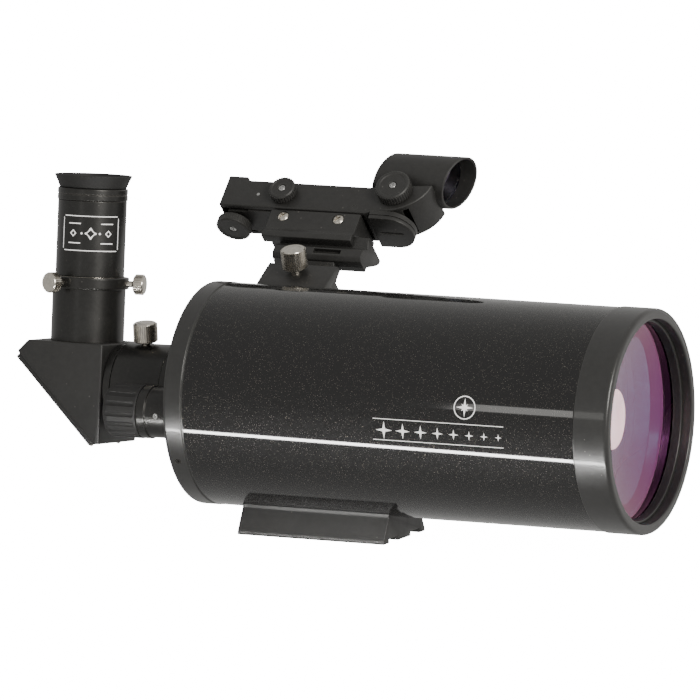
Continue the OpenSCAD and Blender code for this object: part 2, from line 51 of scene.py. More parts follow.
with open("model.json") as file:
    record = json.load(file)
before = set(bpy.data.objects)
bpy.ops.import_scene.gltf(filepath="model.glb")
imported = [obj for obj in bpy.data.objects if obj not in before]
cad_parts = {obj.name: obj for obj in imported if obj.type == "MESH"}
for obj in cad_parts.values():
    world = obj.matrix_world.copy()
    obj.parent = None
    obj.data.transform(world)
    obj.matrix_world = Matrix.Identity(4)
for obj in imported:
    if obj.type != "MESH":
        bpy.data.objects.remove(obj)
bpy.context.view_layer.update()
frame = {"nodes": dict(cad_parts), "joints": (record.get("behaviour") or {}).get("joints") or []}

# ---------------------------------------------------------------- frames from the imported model

MM = 0.001
X_AXIS = Vector((1, 0, 0))


def joint(name):
    """A joint of the record, by its name."""
    return next(j for j in frame["joints"] if j["name"] == name)


def middle(node):
    """Centre of a CAD node's box, in metres."""
    low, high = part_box(node)
    return (Vector(low) + Vector(high)) / 2


def local_frame(origin, out):
    """Millimetre frame with z along out and x along the optical axis."""
    z = Vector(out).normalized()
    y = z.cross(X_AXIS)
    turn = Matrix((X_AXIS, y, z)).transposed().to_4x4()
    return Matrix.Translation(origin) @ turn @ Matrix.Scale(MM, 4)


def reach(node, end):
    """Place in millimetres of a CAD node's low (0) or high (1) end ahead of the rear face."""
    return (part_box(node)[end][0] - AXIS.x) / MM


AXIS = Vector((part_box("focus_bushing")[0][0], middle("tube").y, middle("tube").z))
TUBE = local_frame(AXIS, (0, 0, 1))
DIAGONAL = local_frame(AXIS, joint("eyepiece_slide")["axis"])
FINDER = local_frame(AXIS, joint("finder_yaw")["axis"])
KNOB = TUBE @ Matrix.Translation((Vector(joint("focus_turn")["pos_m"]) - AXIS) / MM)
HEAD = FINDER @ Matrix.Translation((0, 0, 2))
BAR = Matrix.Scale(MM, 4)
BACK_SCREW = local_frame(joint("visual_back_screw_turn")["pos_m"], joint("visual_back_screw_turn")["axis"])

# Lays a lathe's upright axis along +x, or along -y.
LAY = Matrix.Rotation(math.radians(90), 4, "Y")
SIDEWAYS = Matrix.Rotation(math.radians(90), 4, "X")


def at(x=0.0, y=0.0, z=0.0):
    """A shift in millimetres."""
    return Matrix.Translation((x, y, z))


def turned(degrees, axis="Z"):
    """A turn about one of the local axes."""
    return Matrix.Rotation(math.radians(degrees), 4, axis)


# Shared sizes in millimetres, read back from the frame where it states them.
CELL_R = (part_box("front_cell")[1][2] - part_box("front_cell")[0][2]) / MM / 2
TUBE_R = (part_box("tube")[1][2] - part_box("tube")[0][2]) / MM / 2
TUBE_START = reach("tube", 0)
TUBE_END = reach("tube", 1)
FRONT_FACE = reach("front_cell", 1)
CLEAR_R = 45.6
FRONT_BORE = 47.0
BARREL_R = 15.875
HOLDER_BORE = 15.935
EYEPIECE_X = (Vector(joint("holder_screw_a_turn")["pos_m"]) - AXIS).x / MM
CLAMP_LOW, CLAMP_HIGH = reach("finder_clamp", 0), reach("finder_clamp", 1)
LENS_TUBE_R = 12.4
LENS_TUBE_U = 127.5
LENS_LEAN = math.tan(math.radians(19.4))
FINDER_HALF = 11.0


# ---------------------------------------------------------------- settings a user may change


class TubeSettings(bpy.types.PropertyGroup):
    """Finish of the tube and its marks."""

    paint: FloatVectorProperty(
        name="Paint", description="Colour of the tube's gloss paint", subtype="COLOR",
        size=3, min=0, max=1, default=(0.004, 0.0037, 0.0036),
    )
    flake: FloatVectorProperty(
        name="Flake", description="Colour of the metal flakes in the paint", subtype="COLOR",
        size=3, min=0, max=1, default=(0.2, 0.18, 0.155),
    )
    flake_size: FloatProperty(
        name="Flake size", description="Spacing of the metal flakes", subtype="DISTANCE",
        min=0.0001, max=0.003, default=0.00032,
    )
    mark_colour: FloatVectorProperty(
        name="Marks", description="Colour of the printed stars and lines", subtype="COLOR",
        size=3, min=0, max=1, default=(0.86, 0.85, 0.83),
    )
    segments: IntProperty(
        name="Segments", description="Sides of the large round pieces", min=64, max=512, default=256,
    )


class FittingSettings(bpy.types.PropertyGroup):
    """Finish of the fittings."""

    black: FloatVectorProperty(
        name="Black parts", description="Colour of the satin black metal", subtype="COLOR",
        size=3, min=0, max=1, default=(0.018, 0.0178, 0.0168),
    )
    plastic: FloatVectorProperty(
        name="Moulded parts", description="Colour of the moulded black plastic", subtype="COLOR",
        size=3, min=0, max=1, default=(0.022, 0.0216, 0.0205),
    )
    nickel: FloatVectorProperty(
        name="Nickel", description="Colour of the plated thumbscrews", subtype="COLOR",
        size=3, min=0, max=1, default=(0.66, 0.62, 0.55),
    )
    grip_ribs: IntProperty(
        name="Grip ribs", description="Ribs round the focus knob", min=8, max=32, default=16,
    )
    knurls: IntProperty(
        name="Thumbscrew ridges", description="Ridges round a thumbscrew's head", min=16, max=60, default=36,
    )


class StudioSettings(bpy.types.PropertyGroup):
    """Floor, lights and camera."""

    floor_colour: FloatVectorProperty(
        name="Floor", description="Colour of the floor", subtype="COLOR",
        size=3, min=0, max=1, default=(0.9, 0.9, 0.9),
    )
    backdrop: FloatProperty(
        name="Backdrop", description="Brightness of the white backdrop and floor in the picture",
        min=0, max=50, default=16,
    )
    sky: FloatProperty(
        name="Sky", description="Strength of the even light all round", min=0, max=5, default=0.6,
    )
    key: FloatProperty(
        name="Key", description="Power of the main soft light", subtype="POWER", min=0, max=500, default=20,
    )
    strip: FloatProperty(
        name="Strip", description="Power of the thin strip light low in front", subtype="POWER",
        min=0, max=100, default=0.42,
    )
    window: FloatProperty(
        name="Window", description="Power of the small light that draws the soft highlight on the tube",
        subtype="POWER", min=0, max=100, default=0.22,
    )
    panel: FloatProperty(
        name="Panel", description="Power of the wide panel that the front lens reflects", subtype="POWER",
        min=0, max=100, default=0.7,
    )
    azimuth: FloatProperty(
        name="Azimuth", description="Turn of the camera about the object", subtype="ANGLE",
        min=-math.pi, max=math.pi, default=math.radians(24.59),
    )
    elevation: FloatProperty(
        name="Elevation", description="Height of the camera above the horizon", subtype="ANGLE",
        min=-1.5, max=1.5, default=math.radians(8.29),
    )
    distance: FloatProperty(
        name="Distance", description="Distance of the camera", subtype="DISTANCE", min=1, max=20, default=5,
    )
    frame_width: FloatProperty(
        name="Frame width", description="Width that the picture takes in at the object",
        subtype="DISTANCE", min=0.1, max=2, default=0.32215,
    )


def tube_settings():
    """Settings of the tube."""
    return bpy.context.scene.telescope_tube


def fittings():
    """Settings of the fittings."""
    return bpy.context.scene.telescope_fittings


def studio():
    """Settings of the studio."""
    return bpy.context.scene.telescope_studio


# ---------------------------------------------------------------- outlines


def rounded(points, radius=0.5, steps=4):
    """Rounds the corners of a closed outline. A point may hold its own radius as a third value.
    A support point beside each arc keeps the flats next to it flat."""
    result = []
    count = len(points)
    for i, point in enumerate(points):
        here = Vector(point[:2])
        back = Vector(points[i - 1][:2]) - here
        ahead = Vector(points[(i + 1) % count][:2]) - here
        size = point[2] if len(point) > 2 else radius
        bend = math.pi - back.angle(ahead)
        if size <= 0 or bend < 0.09:
            result.append(tuple(here))
            continue
        run = min(size * math.tan(bend / 2), 0.42 * back.length, 0.42 * ahead.length)
        start = here + back.normalized() * run
        end = here + ahead.normalized() * run
        result.append(tuple(start + back.normalized() * min(0.15 * run + 0.02, 0.04 * back.length)))
        for k in range(steps + 1):
            t = k / steps
            result.append(tuple(start * (1 - t) ** 2 + here * (2 * t * (1 - t)) + end * t**2))
        result.append(tuple(end + ahead.normalized() * min(0.15 * run + 0.02, 0.04 * ahead.length)))
    return result


def circle(radius, count, centre=(0, 0), start=0.0, sweep=2 * math.pi, close=True):
    """Points on an arc; a full circle leaves out the repeated last point."""
    last = count if close else count - 1
    return [
        (centre[0] + radius * math.cos(start + sweep * i / last),
         centre[1] + radius * math.sin(start + sweep * i / last))
        for i in range(count)
    ]


def sag(curve, r):
    """Depth of a sphere of radius curve at radius r."""
    return curve - math.sqrt(curve * curve - r * r)


def face_arc(curve, x, r0, r1, count=24):
    """Profile points of a spherical face whose middle is at x."""
    radii = [r0 + (r1 - r0) * i / count for i in range(count + 1)]
    return [(r, x + sag(curve, r)) for r in radii]


def mirrored(points):
    """Both sides of a symmetric outline from its right side, top to bottom."""
    return points + [(-p[0], *p[1:]) for p in reversed(points)]


# ---------------------------------------------------------------- meshes


def to_mesh(bm, name="part"):
    """A mesh from a finished bmesh, which is freed."""
    mesh = bpy.data.meshes.new(name)
    bm.to_mesh(mesh)
    bm.free()
    return mesh


def lathe(points, segments=128):
    """Closed solid of revolution about z, from (radius, height) points."""
    bm = bmesh.new()
    rings = []
    for r, h in points:
        if r < 1e-5:
            rings.append([bm.verts.new((0, 0, h))])
            continue
        turns = [2 * math.pi * i / segments for i in range(segments)]
        rings.append([bm.verts.new((r * math.cos(a), r * math.sin(a), h)) for a in turns])
    for lower, upper in zip(rings, rings[1:] + rings[:1]):
        if len(lower) == 1 and len(upper) == 1:
            continue
        for i in range(segments):
            j = (i + 1) % segments
            corners = [lower[i % len(lower)], lower[j % len(lower)],
                       upper[j % len(upper)], upper[i % len(upper)]]
            bm.faces.new(list(dict.fromkeys(corners)))
    bmesh.ops.recalc_face_normals(bm, faces=bm.faces)
    return to_mesh(bm)


def extruded(outline, low, high):
    """Closed prism of an (x, y) outline from z = low to high."""
    bm = bmesh.new()
    bottom = [bm.verts.new((x, y, low)) for x, y in outline]
    top = [bm.verts.new((x, y, high)) for x, y in outline]
    bm.faces.new(bottom)
    bm.faces.new(list(reversed(top)))
    for i in range(len(outline)):
        j = (i + 1) % len(outline)
        bm.faces.new((bottom[j], bottom[i], top[i], top[j]))
    bmesh.ops.recalc_face_normals(bm, faces=bm.faces)
    return to_mesh(bm)


def block(low, high):
    """Box between two corners."""
    outline = [(low[0], low[1]), (high[0], low[1]), (high[0], high[1]), (low[0], high[1])]
    return extruded(outline, low[2], high[2])


def placed(mesh, *places):
    """The mesh, moved by the product of the given matrices."""
    total = Matrix.Identity(4)
    for place in places:
        total = total @ place
    mesh.transform(total)
    if total.determinant() < 0:
        mesh.flip_normals()
    return mesh


def joined(*meshes):
    """One mesh of several."""
    bm = bmesh.new()
    for mesh in meshes:
        bm.from_mesh(mesh)
    return to_mesh(bm)


def evaluated(mesh, add_modifiers):
    """The mesh after the modifiers that add_modifiers puts on a passing object."""
    helper = bpy.data.objects.new("helper", mesh)
    bpy.context.scene.collection.objects.link(helper)
    add_modifiers(helper)
    shown = helper.evaluated_get(bpy.context.evaluated_depsgraph_get())
    result = bpy.data.meshes.new_from_object(shown)
    bpy.data.objects.remove(helper)
    return result


def cut(mesh, *tools):
    """The mesh with the tools' volumes taken away."""
    helpers = []

    def add(target):
        for tool in tools:
            helper = bpy.data.objects.new("tool", tool)
            bpy.context.scene.collection.objects.link(helper)
            helper.hide_render = True
            helpers.append(helper)
            modifier = target.modifiers.new("cut", "BOOLEAN")
            modifier.operation = "DIFFERENCE"
            modifier.solver = "EXACT"
            modifier.object = helper

    result = evaluated(mesh, add)
    for helper in helpers:
        bpy.data.objects.remove(helper)
    return result


def bevelled(mesh, width, steps=3, angle=32):
    """The mesh with its sharp edges rounded."""
    bm = bmesh.new()
    bm.from_mesh(mesh)
    bmesh.ops.remove_doubles(bm, verts=bm.verts, dist=0.002)
    bmesh.ops.dissolve_limit(bm, angle_limit=math.radians(0.5), verts=bm.verts, edges=bm.edges)
    clean = to_mesh(bm)

    def add(target):
        modifier = target.modifiers.new("edges", "BEVEL")
        modifier.width = width
        modifier.segments = steps
        modifier.limit_method = "ANGLE"
        modifier.angle_limit = math.radians(angle)
        modifier.harden_normals = False

    return evaluated(clean, add)


def leaned(mesh, slope):
    """The mesh with x shifted by slope times z, which slants the ends of a tube along x."""
    mesh.transform(Matrix(((1, 0, slope, 0), (0, 1, 0, 0), (0, 0, 1, 0), (0, 0, 0, 1))))
    return mesh


def wrapped(mesh, radius, upright=False):
    """Bends a flat mesh onto a cylinder: x runs along it, y round it and z stands off it.
    Upright puts the cylinder along z, facing -y; otherwise it lies along x."""
    for vertex in mesh.vertices:
        x, y, z = vertex.co
        r = radius + z
        if upright:
            vertex.co = (r * math.sin(y / radius), -r * math.cos(y / radius), x)
        else:
            vertex.co = (x, -r * math.cos(y / radius), r * math.sin(y / radius))
    return mesh


# ---------------------------------------------------------------- geometry node trees


def new_tree(name, inputs):
    """An empty geometry tree with a geometry input, the named inputs and a geometry output."""
    tree = bpy.data.node_groups.new(name, "GeometryNodeTree")
    tree.interface.new_socket("Geometry", in_out="INPUT", socket_type="NodeSocketGeometry")
    for label, kind in inputs:
        tree.interface.new_socket(label, in_out="INPUT", socket_type=kind)
    tree.interface.new_socket("Geometry", in_out="OUTPUT", socket_type="NodeSocketGeometry")
    return tree, tree.nodes.new("NodeGroupInput"), tree.nodes.new("NodeGroupOutput")


def finish_tree(tree, source, points, instances, group_out):
    """Ends a tree in Realize Instances and Set Material."""
    real = tree.nodes.new("GeometryNodeRealizeInstances")
    paint = tree.nodes.new("GeometryNodeSetMaterial")
    tree.links.new(points, instances.inputs["Points"])
    tree.links.new(source.outputs["Geometry"], instances.inputs["Instance"])
    tree.links.new(instances.outputs["Instances"], real.inputs["Geometry"])
    tree.links.new(real.outputs["Geometry"], paint.inputs["Geometry"])
    tree.links.new(source.outputs["Material"], paint.inputs["Material"])
    tree.links.new(paint.outputs["Geometry"], group_out.inputs["Geometry"])


def ring_tree():
    """Repeats its geometry round the z axis, turned to face outwards."""
    name = "Ring of pieces"
    if name in bpy.data.node_groups:
        return bpy.data.node_groups[name]
    tree, source, out = new_tree(name, [
        ("Count", "NodeSocketInt"), ("Radius", "NodeSocketFloat"), ("Material", "NodeSocketMaterial"),
    ])
    ring = tree.nodes.new("GeometryNodeMeshCircle")
    copies = tree.nodes.new("GeometryNodeInstanceOnPoints")
    index = tree.nodes.new("GeometryNodeInputIndex")
    step = tree.nodes.new("ShaderNodeMath")
    step.operation = "DIVIDE"
    step.inputs[0].default_value = 2 * math.pi
    angle = tree.nodes.new("ShaderNodeMath")
    angle.operation = "MULTIPLY"
    spin = tree.nodes.new("ShaderNodeCombineXYZ")
    tree.links.new(source.outputs["Count"], ring.inputs["Vertices"])
    tree.links.new(source.outputs["Radius"], ring.inputs["Radius"])
    tree.links.new(source.outputs["Count"], step.inputs[1])
    tree.links.new(index.outputs["Index"], angle.inputs[0])
    tree.links.new(step.outputs[0], angle.inputs[1])
    tree.links.new(angle.outputs[0], spin.inputs["Z"])
    tree.links.new(spin.outputs[0], copies.inputs["Rotation"])
    finish_tree(tree, source, ring.outputs["Mesh"], copies, out)
    return tree


def grid_tree():
    """Repeats its geometry on a flat grid."""
    name = "Grid of pieces"
    if name in bpy.data.node_groups:
        return bpy.data.node_groups[name]
    tree, source, out = new_tree(name, [
        ("Columns", "NodeSocketInt"), ("Rows", "NodeSocketInt"),
        ("Width", "NodeSocketFloat"), ("Height", "NodeSocketFloat"), ("Material", "NodeSocketMaterial"),
    ])
    grid = tree.nodes.new("GeometryNodeMeshGrid")
    copies = tree.nodes.new("GeometryNodeInstanceOnPoints")
    tree.links.new(source.outputs["Columns"], grid.inputs["Vertices X"])
    tree.links.new(source.outputs["Rows"], grid.inputs["Vertices Y"])
    tree.links.new(source.outputs["Width"], grid.inputs["Size X"])
    tree.links.new(source.outputs["Height"], grid.inputs["Size Y"])
    finish_tree(tree, source, grid.outputs["Mesh"], copies, out)
    return tree


def repeated(mesh, tree, **values):
    """The mesh repeated by a geometry tree, whose inputs are given by name."""
    def add(target):
        modifier = target.modifiers.new("repeat", "NODES")
        modifier.node_group = tree
        for item in tree.interface.items_tree:
            if item.item_type == "SOCKET" and item.in_out == "INPUT" and item.name in values:
                modifier[item.identifier] = values[item.name]

    return evaluated(mesh, add)


def ring_of(mesh, count, radius, material):
    """Copies of a mesh round the z axis."""
    return repeated(mesh, ring_tree(), Count=count, Radius=float(radius), Material=material)


def grid_of(mesh, columns, rows, width, height, material):
    """Copies of a mesh on a grid in the xy plane."""
    return repeated(mesh, grid_tree(), Columns=columns, Rows=rows, Width=float(width),
                    Height=float(height), Material=material)


# ---------------------------------------------------------------- pieces


def add_piece(name, mesh, place, material, body, slot, *nodes, smooth=35):
    """Puts a finished mesh in the scene on its body, standing for the named CAD nodes."""
    mesh.transform(place)
    mesh.name = name
    mesh.shade_smooth()
    mesh.set_sharp_from_angle(angle=math.radians(smooth))
    mesh.materials.clear()
    mesh.materials.append(material)
    for polygon in mesh.polygons:
        polygon.material_index = 0
    piece = bpy.data.objects.new(name, mesh)
    bpy.context.scene.collection.objects.link(piece)
    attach(piece, body)
    if nodes:
        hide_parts(*nodes)
    return piece


def paint_node(material, *nodes):
    """Gives CAD nodes that stay as they are their finish."""
    for node in nodes:
        mesh = frame["nodes"][node].data
        mesh.materials.clear()
        mesh.materials.append(material)


def knurled_head(radius, low, high, ridges, material, depth=0.45):
    """Thumbscrew head along z with straight ridges round its rim."""
    core_r = radius - depth
    core = lathe(rounded([(0, low, 0), (core_r - 0.3, low, 0.3), (core_r, low + 0.5, 0.3),
                          (core_r, high - 0.5, 0.3), (core_r - 0.3, high, 0.4), (0, high, 0)], 0.4), 72)
    pitch = 2 * math.pi * core_r / ridges
    half = 0.36 * pitch
    profile = [(-0.3, -half * 1.25), (depth - 0.05, -half * 0.55), (depth, 0),
               (depth - 0.05, half * 0.55), (-0.3, half * 1.25)]
    ridge = extruded(profile, low + 0.55, high - 0.55)
    tips = [v for v in ridge.vertices if v.co.x > 0]
    for vertex in tips:
        end = high - 0.55 if vertex.co.z > (low + high) / 2 else low + 0.55
        vertex.co.z = end + (0.05 if end < (low + high) / 2 else -0.05)
    return joined(core, ring_of(ridge, ridges, core_r, material))


def thumbscrew(shank, radius, tip, low, high, ridges, material):
    """Whole thumbscrew along z: shank with a rounded tip, neck washer face and knurled head."""
    rod = lathe(rounded([(0, tip, 0), (shank - 0.4, tip, 0.2), (shank, tip + 0.5, 0.2),
                         (shank, low - 0.9, 0.2), (shank + 0.9, low - 0.3, 0.3),
                         (shank + 0.9, low + 0.4, 0), (0, low + 0.4, 0)], 0.2), 48)
    top = lathe(rounded([(0, high - 0.1, 0), (radius * 0.55, high - 0.1, 0), (radius * 0.62, high + 0.0, 0.1),
                         (radius * 0.55, high + 0.12, 0.2), (0, high + 0.22, 0)], 0.2), 48)
    return joined(rod, knurled_head(radius, low, high, ridges, material), top)


def cross_screw(radius, height, dome=0.5):
    """Pan head with a cross recess, standing on z = 0."""
    head = lathe(rounded([(0, -0.6, 0), (radius, -0.6, 0), (radius, height * 0.55, height * 0.5),
                          (radius * 0.6, height * 0.95, height * 0.3), (0, height + dome * 0.1, 0)],
                         height * 0.5, 5), 48)
    arm = radius * 0.58
    slot = radius * 0.15
    deep = height * 0.25
    tools = [placed(block((-arm, -slot, deep), (arm, slot, height + 1)), turned(a)) for a in (45, 135)]
    pit = lathe([(0, deep - 0.3), (slot * 1.1, deep), (slot * 1.7, height + 1), (0, height + 1)], 12)
    return cut(head, tools[0], tools[1], pit)


def disc_knob(radius, low, high, flutes, material, dish=0.35):
    """Adjusting knob along z: a disc with a fluted rim, a dished face and a shallow pit in its middle for a
    screw.
    """
    depth = 0.35
    rim = radius - depth
    face_r = radius * 0.72
    core = lathe(rounded([(0, low, 0), (rim - 0.5, low, 0.4), (rim, low + 0.5, 0.3), (rim, high - 0.5, 0.3),
                          (rim - 0.5, high, 0.4), (face_r + 0.5, high, 0.3), (face_r, high - dish, 0.3),
                          (2.1, high - dish, 0.2), (1.9, high - dish - 0.5, 0.2), (0, high - dish - 0.5, 0)],
                         0.3), 96)
    pitch = 2 * math.pi * rim / flutes
    profile = [(-0.25, -pitch * 0.42), (depth - 0.08, -pitch * 0.24), (depth, 0),
               (depth - 0.08, pitch * 0.24), (-0.25, pitch * 0.42)]
    rib = extruded(profile, low + 0.55, high - 0.55)
    return joined(core, ring_of(rib, flutes, rim, material))


# ---------------------------------------------------------------- shader groups


def group(name, inputs, outputs):
    """An empty shader group with typed inputs (name, kind, default) and outputs (name, kind)."""
    tree = bpy.data.node_groups.new(name, "ShaderNodeTree")
    for label, kind, value in inputs:
        socket = tree.interface.new_socket(label, in_out="INPUT", socket_type="NodeSocket" + kind)
        if value is not None:
            socket.default_value = value
    for label, kind in outputs:
        tree.interface.new_socket(label, in_out="OUTPUT", socket_type="NodeSocket" + kind)
    return tree, tree.nodes.new("NodeGroupInput"), tree.nodes.new("NodeGroupOutput")


def wire(tree, kind, links=(), **settings):
    """A node with settings on itself, values by socket name in "values", and links from sockets."""
    node = tree.nodes.new(kind)
    for key, value in settings.items():
        if key != "values":
            setattr(node, key, value)
    for key, value in settings.get("values", {}).items():
        node.inputs[key].default_value = value
    for key, socket in dict(links).items():
        tree.links.new(socket, node.inputs[key])
    return node


def maths(tree, operation, a, b=0.0, clamp=False):
    """A maths node on two sockets or numbers; gives its output."""
    node = tree.nodes.new("ShaderNodeMath")
    node.operation = operation
    node.use_clamp = clamp
    for socket, value in zip(node.inputs, (a, b)):
        if isinstance(value, (int, float)):
            socket.default_value = value
        else:
            tree.links.new(value, socket)
    return node.outputs[0]


def ramp(tree, value, low, high, out_low=0.0, out_high=1.0):
    """A clamped change of range; gives its output."""
    node = tree.nodes.new("ShaderNodeMapRange")
    for socket, number in zip(list(node.inputs)[1:5], (low, high, out_low, out_high)):
        socket.default_value = number
    tree.links.new(value, node.inputs["Value"])
    return node.outputs["Result"]


def mixed(tree, factor, a, b):
    """A colour mix; a and b may be sockets or colours."""
    node = tree.nodes.new("ShaderNodeMix")
    node.data_type = "RGBA"
    for socket, value in zip((node.inputs[0], node.inputs[6], node.inputs[7]), (factor, a, b)):
        if isinstance(value, bpy.types.NodeSocket):
            tree.links.new(value, socket)
        elif isinstance(value, (int, float)):
            socket.default_value = value
        else:
            socket.default_value = (*value, 1)[:4]
    return node.outputs[2]


def grain_group():
    """Fine moulded or blasted grain: a normal, and a mask for the gloss."""
    name = "Grain"
    if name in bpy.data.node_groups:
        return bpy.data.node_groups[name]
    tree, given, out = group(name, [
        ("Size", "Float", 0.0004), ("Depth", "Float", 0.00001), ("Normal", "Vector", None),
    ], [("Normal", "Vector"), ("Mask", "Float")])
    place = tree.nodes.new("ShaderNodeTexCoord")
    scale = maths(tree, "DIVIDE", 1.0, given.outputs["Size"])
    fine = wire(tree, "ShaderNodeTexNoise", {"Vector": place.outputs["Object"], "Scale": scale},
                values={"Detail": 3.0, "Roughness": 0.6})
    broad_scale = maths(tree, "MULTIPLY", scale, 0.16)
    broad = wire(tree, "ShaderNodeTexNoise", {"Vector": place.outputs["Object"], "Scale": broad_scale},
                 values={"Detail": 2.0, "Roughness": 0.5})
    height = maths(tree, "ADD", fine.outputs["Fac"], maths(tree, "MULTIPLY", broad.outputs["Fac"], 0.6))
    bump = wire(tree, "ShaderNodeBump", {"Height": height, "Distance": given.outputs["Depth"],
                                         "Normal": given.outputs["Normal"]}, values={"Strength": 1.0})
    tree.links.new(bump.outputs["Normal"], out.inputs["Normal"])
    tree.links.new(broad.outputs["Fac"], out.inputs["Mask"])
    return tree


def edge_rub_and_highlight_group():
    """Mask of the outer edges, from the bevelled normal against the face's own; the lighter colour it puts on
    edges is partly rubbed edges and partly painted edge highlight.
    """
    name = "Edge wear"
    if name in bpy.data.node_groups:
        return bpy.data.node_groups[name]
    tree, given, out = group(name, [("Radius", "Float", 0.0004), ("Break", "Float", 0.35)],
                             [("Mask", "Float")])
    place = tree.nodes.new("ShaderNodeTexCoord")
    soft = wire(tree, "ShaderNodeBevel", {"Radius": given.outputs["Radius"]}, samples=4)
    face = tree.nodes.new("ShaderNodeNewGeometry")
    facing = wire(tree, "ShaderNodeVectorMath", operation="DOT_PRODUCT")
    tree.links.new(soft.outputs["Normal"], facing.inputs[0])
    tree.links.new(face.outputs["Normal"], facing.inputs[1])
    edge = ramp(tree, facing.outputs["Value"], 0.995, 0.9)
    patches = wire(tree, "ShaderNodeTexNoise", {"Vector": place.outputs["Object"]},
                   values={"Scale": 180.0, "Detail": 3.0})
    broken = ramp(tree, patches.outputs["Fac"], 0.35, 0.7)
    kept = maths(tree, "ADD", maths(tree, "MULTIPLY", broken, given.outputs["Break"]),
                 maths(tree, "SUBTRACT", 1.0, given.outputs["Break"]))
    tree.links.new(maths(tree, "MULTIPLY", edge, kept, clamp=True), out.inputs["Mask"])
    return tree


def smudge_group():
    """Handling marks: a slow mask for gloss changes and a speckle mask for dust."""
    name = "Smudge and dust"
    if name in bpy.data.node_groups:
        return bpy.data.node_groups[name]
    tree, given, out = group(name, [("Size", "Float", 0.02), ("Dust", "Float", 0.15)],
                             [("Smudge", "Float"), ("Dust", "Float")])
    place = tree.nodes.new("ShaderNodeTexCoord")
    scale = maths(tree, "DIVIDE", 1.0, given.outputs["Size"])
    slow = wire(tree, "ShaderNodeTexNoise", {"Vector": place.outputs["Object"], "Scale": scale},
                values={"Detail": 4.0, "Roughness": 0.65, "Distortion": 0.6})
    specks = wire(tree, "ShaderNodeTexVoronoi", {"Vector": place.outputs["Object"]},
                  values={"Scale": 420.0, "Randomness": 1.0})
    dots = ramp(tree, specks.outputs["Distance"], 0.16, 0.08)
    chosen = maths(tree, "GREATER_THAN",
                   wire(tree, "ShaderNodeSeparateColor", {"Color": specks.outputs["Color"]}).outputs[0], 0.93)
    tree.links.new(slow.outputs["Fac"], out.inputs["Smudge"])
    dust = maths(tree, "MULTIPLY", maths(tree, "MULTIPLY", dots, chosen), given.outputs["Dust"])
    tree.links.new(dust, out.inputs["Dust"])
    return tree


def flake_group():
    """Metal flakes under lacquer: a mask and a tilted normal of small random cells."""
    name = "Metal flake"
    if name in bpy.data.node_groups:
        return bpy.data.node_groups[name]
    tree, given, out = group(name, [
        ("Size", "Float", 0.0006), ("Share", "Float", 0.12), ("Tilt", "Float", 0.35),
    ], [("Mask", "Float"), ("Normal", "Vector")])
    place = tree.nodes.new("ShaderNodeTexCoord")
    scale = maths(tree, "DIVIDE", 1.0, given.outputs["Size"])
    cells = wire(tree, "ShaderNodeTexVoronoi", {"Vector": place.outputs["Object"], "Scale": scale},
                 values={"Randomness": 1.0})
    parts = wire(tree, "ShaderNodeSeparateColor", {"Color": cells.outputs["Color"]})
    limit = maths(tree, "SUBTRACT", 1.0, given.outputs["Share"])
    chosen = maths(tree, "GREATER_THAN", parts.outputs[0], limit)
    dots = ramp(tree, cells.outputs["Distance"], 0.42, 0.3)
    level = ramp(tree, parts.outputs[1], 0.0, 1.0, 0.25, 1.0)
    tree.links.new(maths(tree, "MULTIPLY", maths(tree, "MULTIPLY", chosen, dots), level), out.inputs["Mask"])
    face = tree.nodes.new("ShaderNodeNewGeometry")
    centred = wire(tree, "ShaderNodeVectorMath", operation="SUBTRACT")
    tree.links.new(cells.outputs["Color"], centred.inputs[0])
    centred.inputs[1].default_value = (0.5, 0.5, 0.5)
    tilted = wire(tree, "ShaderNodeVectorMath", operation="SCALE")
    tree.links.new(centred.outputs[0], tilted.inputs[0])
    tree.links.new(given.outputs["Tilt"], tilted.inputs["Scale"])
    total = wire(tree, "ShaderNodeVectorMath", operation="ADD")
    tree.links.new(face.outputs["Normal"], total.inputs[0])
    tree.links.new(tilted.outputs[0], total.inputs[1])
    unit = wire(tree, "ShaderNodeVectorMath", operation="NORMALIZE")
    tree.links.new(total.outputs[0], unit.inputs[0])
    tree.links.new(unit.outputs[0], out.inputs["Normal"])
    return tree


# ---------------------------------------------------------------- materials


def blank(name):
    """A new material with its Principled shader and an output."""
    material = bpy.data.materials.new(name)
    material.use_nodes = True
    tree = material.node_tree
    shader = tree.nodes["Principled BSDF"]
    return material, tree, shader


def use(tree, maker, links=(), **values):
    """A group node of the given maker."""
    node = tree.nodes.new("ShaderNodeGroup")
    node.node_tree = maker()
    for key, value in values.items():
        node.inputs[key.replace("_", " ")].default_value = value
    for key, socket in dict(links).items():
        tree.links.new(socket, node.inputs[key])
    return node


